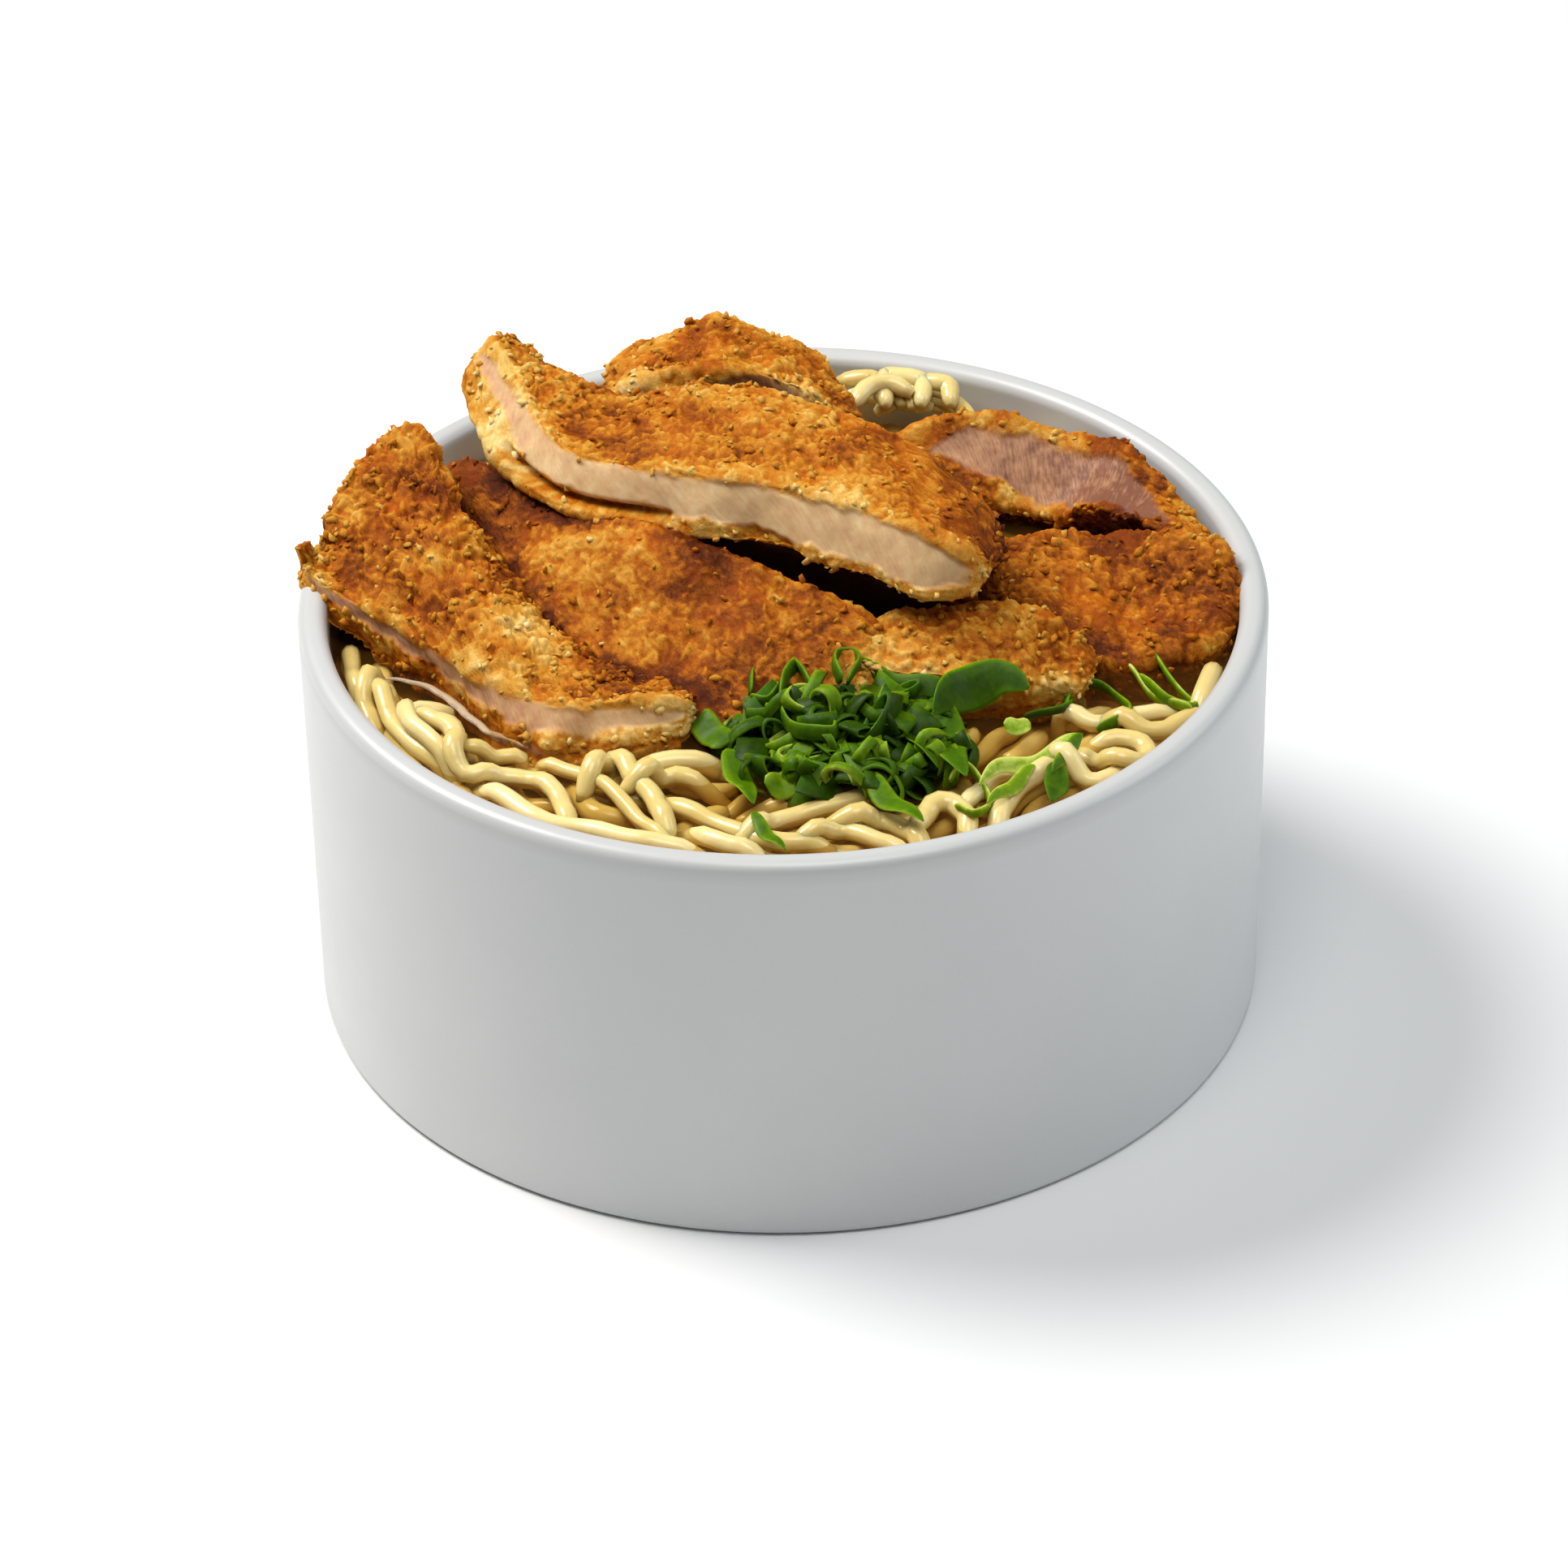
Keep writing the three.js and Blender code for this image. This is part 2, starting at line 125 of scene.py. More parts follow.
def grains(points, size, seed):
    """Distance to the nearest of scattered grain centres, in grain sizes, and a number for it."""
    place = points / size
    cell = np.floor(place).astype(np.int64)
    nearest = np.full(len(points), np.inf)
    pick = np.zeros(len(points))
    for step in np.ndindex(3, 3, 3):
        home = cell + np.array(step) - 1
        centre = home + np.stack([lattice(home, seed + k) for k in range(3)], -1)
        distance = np.linalg.norm(centre - place, axis=-1)
        closer = distance < nearest
        nearest = np.where(closer, distance, nearest)
        pick = np.where(closer, lattice(home, seed + 3), pick)
    return nearest, pick


def rail(controls, s):
    """Points on a centripetal spline through the controls, for shares s of it from 0 to 1."""
    controls = np.asarray(controls, float)
    ends = [2 * controls[:1] - controls[1:2], controls, 2 * controls[-1:] - controls[-2:-1]]
    knots = np.concatenate(ends)
    place = np.clip(s, 0, 1) * (len(controls) - 1)
    low = np.minimum(place.astype(int), len(controls) - 2)
    t = (place - low)[:, None]
    a, b, c, d = (knots[low + k] for k in range(4))
    ab, bc, cd = (np.sqrt(np.linalg.norm(q - p, axis=1))[:, None] for p, q in ((a, b), (b, c), (c, d)))
    leave = ((b - a) / ab - (c - a) / (ab + bc) + (c - b) / bc) * bc
    arrive = ((c - b) / bc - (d - b) / (bc + cd) + (d - c) / cd) * bc
    curve = 2 * b - 2 * c + leave + arrive
    return b + t * (leave + t * (3 * (c - b) - 2 * leave - arrive + t * curve))


def along(values, s):
    """Evenly spaced values, joined smoothly."""
    place = np.clip(s, 0, 1) * (len(values) - 1)
    low = np.minimum(place.astype(int), len(values) - 2)
    t = smoothstep(0, 1, place - low)
    values = np.asarray(values, float)
    return values[low] * (1 - t) + values[low + 1] * t


PATH_POINTS = 12


def photo_path(pixels, height):
    """A smooth path at this height through the pixels."""
    return rail(from_photo(pixels, height), np.linspace(0, 1, PATH_POINTS * len(pixels)))


def travelled(path):
    """How far along the path each of its points lies."""
    return np.concatenate([[0], np.cumsum(np.linalg.norm(np.diff(path, axis=0), axis=1))])


def evenly(path, step):
    """The same path with its points a step apart."""
    length = travelled(path)
    where = np.linspace(0, length[-1], max(4, round(length[-1] / step) + 1))
    return np.stack([np.interp(where, length, path[:, k]) for k in range(path.shape[1])], -1)


def unit(vectors):
    return vectors / (np.linalg.norm(vectors, axis=-1, keepdims=True) + 1e-9)


def nearest_distance(others, points):
    """Distance from each point to the nearest of the others."""
    tree = KDTree(len(others))
    for index, place in enumerate(others):
        tree.insert(place, index)
    tree.balance()
    return np.array([tree.find(place)[2] for place in points])


# Meshes

def new_object(name, data):
    made = bpy.data.objects.new(name, data)
    bpy.context.scene.collection.objects.link(made)
    return made


class Shape:
    """Points and faces gathered from many parts, with a value of each trait at every point."""

    def __init__(self, *traits):
        self.points, self.faces, self.size = [], [], 0
        self.traits = {name: [] for name in traits}

    def add(self, points, faces, **traits):
        self.points.append(points)
        self.faces += [[self.size + k for k in face] for face in faces]
        self.size += len(points)
        for name, values in self.traits.items():
            values.append(np.broadcast_to(traits.get(name, 0.0), len(points)))

    def make(self, name, material, slot, *nodes):
        """Makes the finished piece, which rides on the one body and stands for the nodes."""
        mesh = bpy.data.meshes.new(name)
        mesh.from_pydata((np.concatenate(self.points) * MM).tolist(), [], self.faces)
        for trait, values in self.traits.items():
            layer = mesh.attributes.new(trait, "FLOAT", "POINT")
            layer.data.foreach_set("value", np.concatenate(values).astype(np.float32))
        mesh.shade_smooth()
        mesh.validate()
        mesh.materials.append(material)
        piece = new_object(name, mesh)
        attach(piece, "root")
        if nodes:
            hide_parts(*nodes)


def grid_faces(rows, around):
    """Quads of a grid of points, closed round each row."""
    k = np.arange(around)
    after = (k + 1) % around
    r = np.arange(rows - 1)[:, None] * around
    return np.stack([r + k, r + after, r + around + after, r + around + k], -1).reshape(-1, 4).tolist()


def fan(centre, ring):
    """Triangles from a centre to each side of a ring of points."""
    return [[centre, ring[k], ring[(k + 1) % len(ring)]] for k in range(len(ring))]


def closed_grid(rings):
    """Points and faces of rings of points joined into one closed surface, its ends shut by a point."""
    rows, around, _ = rings.shape
    points = np.concatenate([rings.reshape(-1, 3), rings[:1].mean(1), rings[-1:].mean(1)])
    first = list(range(around))
    last = [(rows - 1) * around + k for k in range(around)]
    start, end = rows * around, rows * around + 1
    faces = grid_faces(rows, around) + fan(start, first[::-1]) + fan(end, last)
    return points, faces


def lathe(profile, around):
    """Rings of points for a profile of radius and height turned about the upright axis."""
    turn = 2 * np.pi * np.arange(around) / around
    profile = np.asarray(profile, float)
    radius, height = profile[:, :1], profile[:, 1:]
    return np.stack([radius * np.cos(turn), radius * np.sin(turn), height + 0 * turn], -1)


def arc(centre_radius, centre_height, radius, start, end, steps):
    turn = np.radians(np.linspace(start, end, steps + 1))
    return list(zip(centre_radius + radius * np.cos(turn), centre_height + radius * np.sin(turn)))


def tube(path, width, sides, flatness=1.0, twist=0.0, roll=0.0):
    """Rings of a strand with rounded ends along a path. Its section can be flat, and can twist."""
    tangent = unit(np.gradient(path, axis=0))
    side = unit(np.cross(tangent, [0, 0, 1]))
    top = np.cross(side, tangent)
    count = len(path)
    width = np.broadcast_to(width, count)[:, None]
    turn = 2 * np.pi * np.arange(sides) / sides
    roll = roll + twist * np.linspace(0, 1, count)[:, None]
    across, up = np.cos(turn) * width / 2, np.sin(turn) * width / 2 * flatness
    x = across * np.cos(roll) - up * np.sin(roll)
    y = across * np.sin(roll) + up * np.cos(roll)
    ends = np.minimum(np.arange(count), np.arange(count)[::-1])
    x, y = (v * np.sqrt(np.clip(0.25 + ends / 2, 0, 1))[:, None] for v in (x, y))
    return path[:, None] + side[:, None] * x[..., None] + top[:, None] * y[..., None]


# Node materials

def colour(red, green, blue):
    """A colour from its 0 to 255 screen values."""
    parts = [v / 255 for v in (red, green, blue)]
    return tuple(v / 12.92 if v <= 0.04045 else ((v + 0.055) / 1.055) ** 2.4 for v in parts) + (1.0,)


class Look:
    """A material built from nodes. Most methods add a node and give back its output."""

    def __init__(self, name):
        self.material = bpy.data.materials.new(name)
        self.material.use_nodes = True
        self.tree = self.material.node_tree
        self.tree.nodes.clear()
        self.place = self.add("TexCoord").outputs["Object"]

    def add(self, kind, inputs=(), **settings):
        made = self.tree.nodes.new("ShaderNode" + kind)
        for key, value in settings.items():
            setattr(made, key, value)
        for key, value in dict(inputs).items():
            if isinstance(value, bpy.types.NodeSocket):
                self.tree.links.new(value, made.inputs[key])
            else:
                made.inputs[key].default_value = value
        return made

    def trait(self, name):
        return self.add("Attribute", attribute_name=name).outputs["Fac"]

    def maths(self, operation, a, b=0.0, c=0.0):
        return self.add("Math", {0: a, 1: b, 2: c}, operation=operation).outputs[0]

    def scaled(self, value, scale, offset=0.0):
        return self.maths("MULTIPLY_ADD", value, scale, offset)

    def plus(self, *values):
        total = values[0]
        for value in values[1:]:
            total = self.maths("ADD", total, value)
        return total

    def noise(self, size, detail=2.0, where=None, stretch=None, roughness=0.5):
        """Noise from 0 to 1 with features about size millimetres across."""
        vector = where or self.place
        if stretch:
            vector = self.add("Mapping", {"Vector": vector, "Scale": stretch}).outputs[0]
        inputs = {"Vector": vector, "Scale": 1 / (size * MM), "Detail": detail, "Roughness": roughness}
        return self.add("TexNoise", inputs).outputs[0]

    def ramp(self, value, stops):
        """Colours by value: three screen values at each stop, or four linear ones."""
        made = self.add("ValToRGB", {0: value})
        elements = made.color_ramp.elements
        while len(elements) < len(stops):
            elements.new(0.5)
        for element, (position, shade) in zip(elements, stops.items()):
            element.position = position
            element.color = colour(*shade) if len(shade) == 3 else shade
        return made.outputs[0]

    def mix(self, share, a, b, kind="MIX"):
        made = self.add("Mix", {0: share, 6: a, 7: b}, data_type="RGBA", blend_type=kind)
        return made.outputs[2]

    def bump(self, height, depth, strength):
        """A normal from a height from 0 to 1 that stands for a depth in millimetres."""
        inputs = {"Height": height, "Distance": depth * MM, "Strength": strength}
        return self.add("Bump", inputs).outputs[0]

    def principled(self, **inputs):
        named = {key.replace("_", " "): value for key, value in inputs.items()}
        return self.add("BsdfPrincipled", named).outputs[0]

    def depth_below_broth(self):
        """How far below the broth's level a point lies, in millimetres."""
        height = self.add("SeparateXYZ", {0: self.place}).outputs[2]
        return self.scaled(height, -1 / MM, BROTH_LEVEL)

    def done(self, shader):
        self.add("OutputMaterial", {"Surface": shader})
        return self.material

    def skin(self, **inputs):
        """The finished material, with one plain surface."""
        return self.done(self.principled(**inputs))


# Noise sizes and bump depths are in millimetres, and so is the depth over which a colour fades. Under the
# broth the noodles and the bed fade darker as painted shade.
LIP_FADE = 4
NOODLE_SHADE_DEPTH = 10
BED_SHADE_DEPTH = 8
WATER_IOR = 1.34


def glaze_look():
    look = Look("satin_white_glaze")
    cloud = look.noise(38, 3)
    speck = look.noise(0.9, 2)
    mottle = look.plus(look.scaled(cloud, 0.8), look.scaled(speck, 0.2))
    base = look.ramp(mottle, {0.3: (203, 204, 204), 0.7: (208, 209, 209)})
    lip = look.scaled(look.depth_below_broth(), -1 / LIP_FADE, -1.0)
    return look.skin(
        Base_Color=look.mix(lip, base, colour(190, 191, 190)),
        Roughness=look.scaled(look.noise(6, 3), 0.12, 0.33),
        Normal=look.bump(look.noise(14, 2), 0.25, 0.5),
        Coat_Weight=0.15,
        Coat_Roughness=0.25,
    )


def katsu_look():
    """Crumbed crust, and the meat of the cut face where the trait meat is 1."""
    look = Look("fried_cutlet")
    meat, relief, tone = (look.trait(name) for name in ("meat", "relief", "tone"))
    crumb, patch = look.noise(0.55, 4, roughness=0.7), look.noise(5.5, 3)
    # The relief term paints shade into the coating's crevices and a highlight on the tips of its crumbs.
    shade = look.plus(
        look.scaled(tone, 0.32, -0.12),
        look.scaled(relief, 0.40),
        look.scaled(crumb, 0.36, -0.03),
        look.scaled(patch, 0.40),
    )
    crust = look.ramp(shade, {
        0.08: (78, 28, 0), 0.24: (134, 66, 4), 0.38: (174, 98, 12), 0.52: (196, 132, 36),
        0.66: (210, 158, 68), 0.80: (226, 186, 106), 0.97: (242, 212, 148),
    })
    ember = look.maths("MULTIPLY", look.noise(9, 2), look.scaled(relief, -0.6, 1.0))
    crust = look.mix(look.scaled(ember, 1.2, -0.42), crust, colour(212, 98, 4))

    grain = look.add("CombineXYZ", {0: look.trait("grain_x"), 1: look.trait("grain_y")}).outputs[0]
    fibre = look.noise(0.9, 4, where=grain, stretch=(1, 0.4, 1), roughness=0.6)
    marble = look.noise(2.6, 4)
    red = look.trait("red")
    streak = look.maths("MULTIPLY", look.scaled(fibre, 1.0, -0.5), look.scaled(red, 0.8, 0.12))
    redness = look.plus(red, look.scaled(marble, 0.7, -0.32), streak)
    flesh = look.ramp(redness, {
        0.05: (232, 204, 158), 0.25: (218, 182, 134), 0.50: (200, 154, 114),
        0.75: (170, 124, 92), 0.97: (128, 84, 64),
    })
    base = look.mix(meat, crust, flesh)
    height = look.mix(meat, crumb, look.scaled(fibre, 0.3))
    rough = look.mix(meat, look.scaled(look.noise(1.6, 2), 0.5, 0.28), look.scaled(fibre, 0.2, 0.32))
    return look.skin(
        Base_Color=base,
        Roughness=rough,
        Normal=look.bump(height, 0.5, 0.6),
        Subsurface_Weight=0.3,
        Subsurface_Radius=(1.0, 0.5, 0.2),
        Subsurface_Scale=1.6 * MM,
        Specular_IOR_Level=0.1,
    )


def noodle_look():
    look = Look("wheat_noodle")
    streak = look.noise(9, 3)
    fine = look.noise(1.4, 2)
    tone = look.scaled(look.trait("tone"), 0.4)
    pale = look.plus(look.scaled(streak, 0.55), look.scaled(fine, 0.15), tone)
    dry = look.ramp(pale, {0.15: (204, 176, 96), 0.50: (220, 197, 126), 0.85: (234, 217, 160)})
    # Deeper strands get the broth's own amber tint and, towards black, painted shade.
    broth_depth_shade = look.scaled(look.depth_below_broth(), 1 / NOODLE_SHADE_DEPTH, 0.12)
    amber = look.ramp(broth_depth_shade, {
        0.0: (1.0, 1.0, 1.0, 1.0), 0.2: (1.0, 0.98, 0.90, 1.0), 0.4: (0.94, 0.82, 0.52, 1.0),
        0.65: (0.62, 0.42, 0.14, 1.0), 1.0: (0.18, 0.09, 0.02, 1.0),
    })
    return look.skin(
        Base_Color=look.mix(1.0, dry, amber, "MULTIPLY"),
        Roughness=look.scaled(fine, 0.15, 0.16),
        Normal=look.bump(look.noise(2.6, 2), 0.25, 0.3),
        Subsurface_Weight=0.5,
        Subsurface_Radius=(1.0, 0.75, 0.35),
        Subsurface_Scale=2.2 * MM,
    )


def core_look():
    look = Look("noodles_deep_in_broth")
    shade = look.plus(look.scaled(look.noise(7, 3), 0.7), look.scaled(look.noise(2, 2), 0.3))
    # The bed darkens with depth under the broth: painted shade.
    depth = look.scaled(look.depth_below_broth(), -1 / BED_SHADE_DEPTH, 0.9)
    deepest = (16, 5, 0)
    base = look.ramp(look.plus(shade, depth), {0.1: deepest, 0.4: (60, 28, 2), 0.8: (130, 80, 16)})
    # In the gap between the slices the bed is painted near black: painted shade.
    base = look.mix(look.trait("dark"), base, colour(*deepest))
    return look.skin(Base_Color=base, Roughness=0.5, Normal=look.bump(shade, 1.0, 0.5))


def broth_look():
    """Clear amber broth: it tints what lies under it, and shines like water. Painted shade darkens it in the
    gap between the slices, and a painted highlight lies along its edge bead.
    """
    look = Look("clear_broth")
    cloud = look.noise(20, 2)
    film, dark = look.trait("film"), look.trait("dark")
    tint = look.ramp(cloud, {0.3: (0.96, 0.90, 0.70, 1), 0.7: (0.98, 0.93, 0.78, 1)})
    # In the gap between the slices the broth is painted dark: painted shade.
    tint = look.mix(dark, tint, (0.30, 0.16, 0.06, 1))
    ripple = look.bump(look.noise(7, 2), 0.25, 0.5)
    clear = look.add("BsdfTransparent", {"Color": tint}).outputs[0]
    cloudy = look.ramp(cloud, {0.3: (140, 92, 34), 0.7: (160, 110, 46)})
    # Along the edge bead the broth is painted pale and partly opaque: a painted highlight.
    base = look.mix(film, cloudy, colour(186, 164, 136))
    wet = look.principled(Base_Color=base, Roughness=0.04, IOR=WATER_IOR, Normal=ripple)
    mirror = look.add("Fresnel", {"IOR": WATER_IOR, "Normal": ripple}).outputs[0]
    share = look.plus(look.scaled(mirror, 0.9, 0.05), look.scaled(film, 0.4))
    # In the gap the reflection is cut as painted shade.
    share = look.maths("MULTIPLY", share, look.scaled(dark, -0.93, 1.0))
    return look.done(look.add("MixShader", {0: share, 1: clear, 2: wet}).outputs[0])


def scallion_look():
    look = Look("spring_onion")
    vein = look.noise(0.8, 2, stretch=(1, 1, 0.25))
    tone, patch = look.trait("tone"), look.scaled(look.noise(3, 2), 0.3, -0.21)
    base = look.ramp(look.plus(tone, patch, look.scaled(vein, 0.2, -0.1)), {
        0.05: (26, 46, 0), 0.30: (46, 76, 0), 0.52: (72, 108, 0), 0.75: (118, 148, 8), 0.95: (194, 204, 96),
    })
    return look.skin(
        Base_Color=base,
        Roughness=look.scaled(vein, 0.2, 0.36),
        Normal=look.bump(vein, 0.15, 0.4),
        Subsurface_Weight=0.4,
        Subsurface_Radius=(0.5, 1.0, 0.2),
        Subsurface_Scale=1.0 * MM,
        Specular_IOR_Level=0.14,
    )


def floor_look():
    look = Look("pale_floor")
    base = look.ramp(look.noise(300, 2), {0.3: (226, 226, 226), 0.7: (229, 229, 229)})
    return look.skin(Base_Color=base, Roughness=0.9, Specular_IOR_Level=0.1)


# The bowl

BOWL_SEGMENTS = 224


def inner_wall_radius(height):
    return BOWL_RADIUS - WALL - (BOWL_HEIGHT - height) / BOWL_HEIGHT * INNER_TAPER


def bowl():
    foot = BOWL_RADIUS - TAPER
    lip_height = BOWL_HEIGHT - LIP_RADIUS
    inner_bottom = BOWL_RADIUS - WALL - INNER_TAPER
    foot_top = FOOT_EDGE_RADIUS
    outside = [(FOOT_INNER_RADIUS * t, FOOT_RECESS) for t in (0.02, 0.5, 0.9)]
    outside += arc(FOOT_INNER_RADIUS, FOOT_RECESS / 2, FOOT_RECESS / 2, 150, 270, 3)
    outside += [(foot - FOOT_RING, 0)] + arc(foot - foot_top, foot_top, foot_top, -90, 0, 8)
    rise = lip_height - foot_top
    outside += [(foot + TAPER * t, foot_top + rise * t) for t in (0.02, 0.25, 0.5, 0.75, 0.98)]
    lip = arc(BOWL_RADIUS - LIP_RADIUS, lip_height, LIP_RADIUS, 0, 90, 10)
    lip += arc(BOWL_RADIUS - WALL + LIP_RADIUS, lip_height, LIP_RADIUS, 90, 180, 10)
    inside = [(inner_wall_radius(z), z) for z in np.linspace(lip_height - 1, FLOOR + INNER_CORNER + 1, 6)]
    inside += arc(inner_bottom - INNER_CORNER, FLOOR + INNER_CORNER, INNER_CORNER, 0, -90, 10)
    inside += [(inner_bottom * t, FLOOR) for t in (0.5, 0.02)]
    shape = Shape()
    shape.add(*closed_grid(lathe(outside + lip + inside, BOWL_SEGMENTS)))
    shape.make("bowl_glazed", glaze_look(), "bowl_glaze", "bowl")


# The slices of cutlet

# front and back are the upper edges of a slice along its length: x, y and height above the rim.
# Its cut face is in front, and lean is how far the foot of that face reaches out. steps are its
# points along, across and up. crumbs scales the coating, flakes counts the loose crumbs and brown
# darkens. meat is where the face is bare: a share of the length, and the lowest and highest part
# there, from -1 to 1. red is how red it is, and beside is the slice that it runs into. peel is a
# groove in the cut face: its start, end, middle, half width and depth.
SLICES = {
    "katsu_top": {
        "front": [
            [-52, 50, 24], [-46, 36, 22], [-38, 18, 19.5], [-18, 8, 20], [3, -1, 21], [20, -10, 20],
            [36, -18, 16],
        ],
        "back": [
            [-47, 53, 23], [-39, 44, 20.5], [-28, 39, 18.5], [-12, 35, 22.5], [3, 29, 23], [20, 21, 20],
            [42, 1, 14],
        ],
        "thickness": [8, 9, 10, 10.5, 11, 11, 10],
        "lean": [7, 7, 5, 5, 5, 5, 2],
        "steps": (330, 76, 44),
        "crumbs": 0.75,
        "flakes": 620,
        "brown": [0.1, 0.0, -0.05, 0.0, 0.05, 0.0, 0.2, 0.4],
        "meat": [
            (0.02, 0.1, 0.2), (0.06, 0.2, 0.65), (0.18, 0.15, 0.72), (0.26, -0.1, 0.8), (0.34, -0.25, 0.84),
            (0.46, -0.3, 0.84), (0.7, -0.55, 0.84), (0.9, -0.6, 0.8), (0.97, -0.3, 0.4),
        ],
        "red": [0.5, 0.38, 0.25, 0.2, 0.22, 0.27, 0.32],
        "peel": (0.22, 0.5, -0.42, 0.13, 3.0),
    },
    "katsu_left": {
        "front": [
            [-85, 7, 3], [-79, 1, 2], [-69, -7, 0], [-57, -19, -1], [-45, -30, -1], [-35, -33, -1],
            [-25, -32, -1], [-14, -31, -2],
        ],
        "back": [
            [-79, 10, 5], [-77, 21, 9], [-71, 29, 16], [-63, 30, 18], [-53, 12, 8], [-42, -6, 1],
            [-31, -18, -2], [-14, -26, -3],
        ],
        "thickness": [4, 7, 9, 10, 11, 11, 10, 8],
        "lean": [2, 5, 6, 7, 8, 6, 4, 2],
        "steps": (270, 78, 36),
        "crumbs": 1.1,
        "flakes": 760,
        "brown": [0.3, 0.4, 0.45, 0.2, -0.1, -0.2, -0.1, 0.2],
        "meat": [
            (0.05, 0.5, 0.75), (0.15, 0.4, 0.82), (0.43, 0.35, 0.82), (0.57, 0.3, 0.85), (0.7, 0.15, 0.8),
            (0.9, 0.15, 0.7), (0.97, 0.35, 0.6),
        ],
        "red": [0.8, 0.75, 0.7, 0.6, 0.4, 0.3, 0.35],
    },
    "katsu_front": {
        "front": [
            [-60, 27, 3], [-47, 2, 0], [-38, -10, -2], [-25, -24, -5], [-9, -33, -6], [4, -32, -6],
            [17, -26, -4],
        ],
        "back": [
            [-62, 40, 5], [-50, 29, 10], [-37, 15, 12], [-22, 4, 13], [-8, -2, 11], [5, -8, 7],
            [18, -14, 3],
        ],
        "thickness": [8, 11, 13, 13, 12, 11, 9],
        "steps": (290, 82, 26),
        "crumbs": 0.55,
        "flakes": 300,
        "brown": [0.5, 0.4, 0.0, -0.1, 0.1, 0.1, -0.3],
        "beside": "katsu_front_end",
    },
    "katsu_front_end": {
        "front": [[8, -23, -1], [20, -25, -1], [33, -26, -2], [44, -26, -4], [53, -24, -5]],
        "back": [[8, -12, 3], [20, -11, 4], [33, -12, 5], [44, -14, 4], [54, -19, 0]],
        "thickness": [9, 10, 10, 9, 7],
        "lean": [3, 3],
        "steps": (150, 36, 24),
        "crumbs": 0.8,
        "flakes": 220,
        "brown": [-0.2, -0.5, -0.4, -0.1],
        "beside": "katsu_front",
        "meat": [(0.2, 0.1, 0.2), (0.3, -0.5, 0.5), (0.5, -0.5, 0.5), (0.6, 0.0, 0.1)],
        "red": [0.3, 0.3],
    },
    "katsu_back": {
        "front": [[-32, 45, 13], [-18, 45, 18], [-4, 44, 18], [8, 41, 14], [14, 38, 8]],
        "back": [[-33, 59, 9], [-20, 65, 15], [-6, 67, 17], [8, 63, 12], [16, 54, 4]],
        "thickness": [14, 18, 19, 18, 12],
        "steps": (170, 62, 48),
        "crumbs": 0.95,
        "flakes": 380,
        "brown": [0.1, 0.0, 0.1],
        "meat": [(0.35, 0.5, 0.6), (0.45, 0.45, 0.8), (0.65, 0.45, 0.8), (0.75, 0.5, 0.6)],
        "red": [0.8, 0.8],
    },
    "katsu_right_back": {
        "front": [
            [15, 38, 5], [28, 45, 7.5], [40, 46, 7.2], [52, 42, 5], [62, 37, 5], [70, 28, 1.5],
            [76, 13, -0.5],
        ],
        "back": [
            [17, 53, -5], [30, 58, -4], [42, 57, -3], [51, 53, -4], [59, 46, -5], [65, 38, -7],
            [70, 27, -8],
        ],
        "thickness": [10, 15, 16.5, 16, 16, 13, 7],
        "lean": [2, 2, 2, 2, 2, 1, 0],
        "steps": (240, 48, 52),
        "crumbs": 0.85,
        "flakes": 320,
        "brown": [0.8, 0.9, 1.0, 1.2],
        "meat": [
            (0.12, 0.2, 0.3), (0.22, -0.35, 0.6), (0.45, -0.7, 0.65), (0.66, -0.85, 0.55),
            (0.8, -0.85, 0.3), (0.92, -0.6, -0.2),
        ],
        "red": [0.6, 0.7, 0.8, 0.95, 1.05],
    },
    "katsu_right": {
        "front": [[38, -10, -3], [49, -14, -4], [60, -16, -6], [70, -13, -6], [78, -8, -6]],
        "back": [[34, 11, 4], [48, 15, 3], [61, 15, 2], [71, 13, 5], [79, 5, 3]],
        "thickness": [10, 13, 13, 12, 10],
        "lean": [3, 3],
        "steps": (150, 64, 36),
        "crumbs": 0.85,
        "flakes": 320,
        "brown": [0.6, 0.4, 0.4, 0.2],
    },
}
SLICE_DEFAULTS = {"lean": [0, 0], "meat": [], "red": [0.5, 0.5]}

# Across a slice, from its crust at 1 to its cut face at -1, what is beyond this is cut face.
CUT_FACE = -0.995
CRUST_ROUNDING = 0.4
CUT_ROUNDING = 0.12
SECTION_SMOOTHING = 5
END_TAPER = 0.15
CAP_ROWS = 34
CAP_FULLNESS = 0.16
LUMP_SIZE = 13
LUMP_HEIGHT = 1.2
CRAG_SIZE = 5
CRAG_HEIGHT = 1.2
COAT_HEIGHT = 1.25
COAT_SUNK = 0.45
COAT_TOP = 1.1
MEAT_LUMPS = 0.35
MEAT_SUNK = 0.15
FIBRE_SIZE = 0.9
FIBRE_HEIGHT = 0.04
FIBRE_STRETCH = 0.18
FIBRE_SLANT = 0.8
SLICE_LENGTH = 110
RAGGED_EDGE = ((2.6, 0.16), (1.2, 0.06))
TONE_PATCHES = ((15, 0.7), (5, 0.45))
WET_ABOVE_BROTH = 3
WET_DARKNESS = 0.6
CUT_CRUST_LIGHT = 0.1
CUT_CRUMBS = 0.45
EDGE_LIGHT = 0.6
# Painted shade on the crust near other slices: how far it reaches and how dark it is.
SLICE_SHADE_REACH = 2.4
SLICE_SHADE_DARKNESS = 2.0
SHADOW_STEP = 5


def section(across_steps, up_steps):
    """Points round the square section, as across and up from -1 to 1. Across is -1 at the cut face."""
    across = np.linspace(-1, 1, across_steps, endpoint=False)
    up = np.linspace(-1, 1, up_steps, endpoint=False)
    sides = [(across, across * 0 - 1), (up * 0 + 1, up), (-across, across * 0 + 1), (up * 0 - 1, -up)]
    return np.concatenate([np.stack(side, -1) for side in sides])


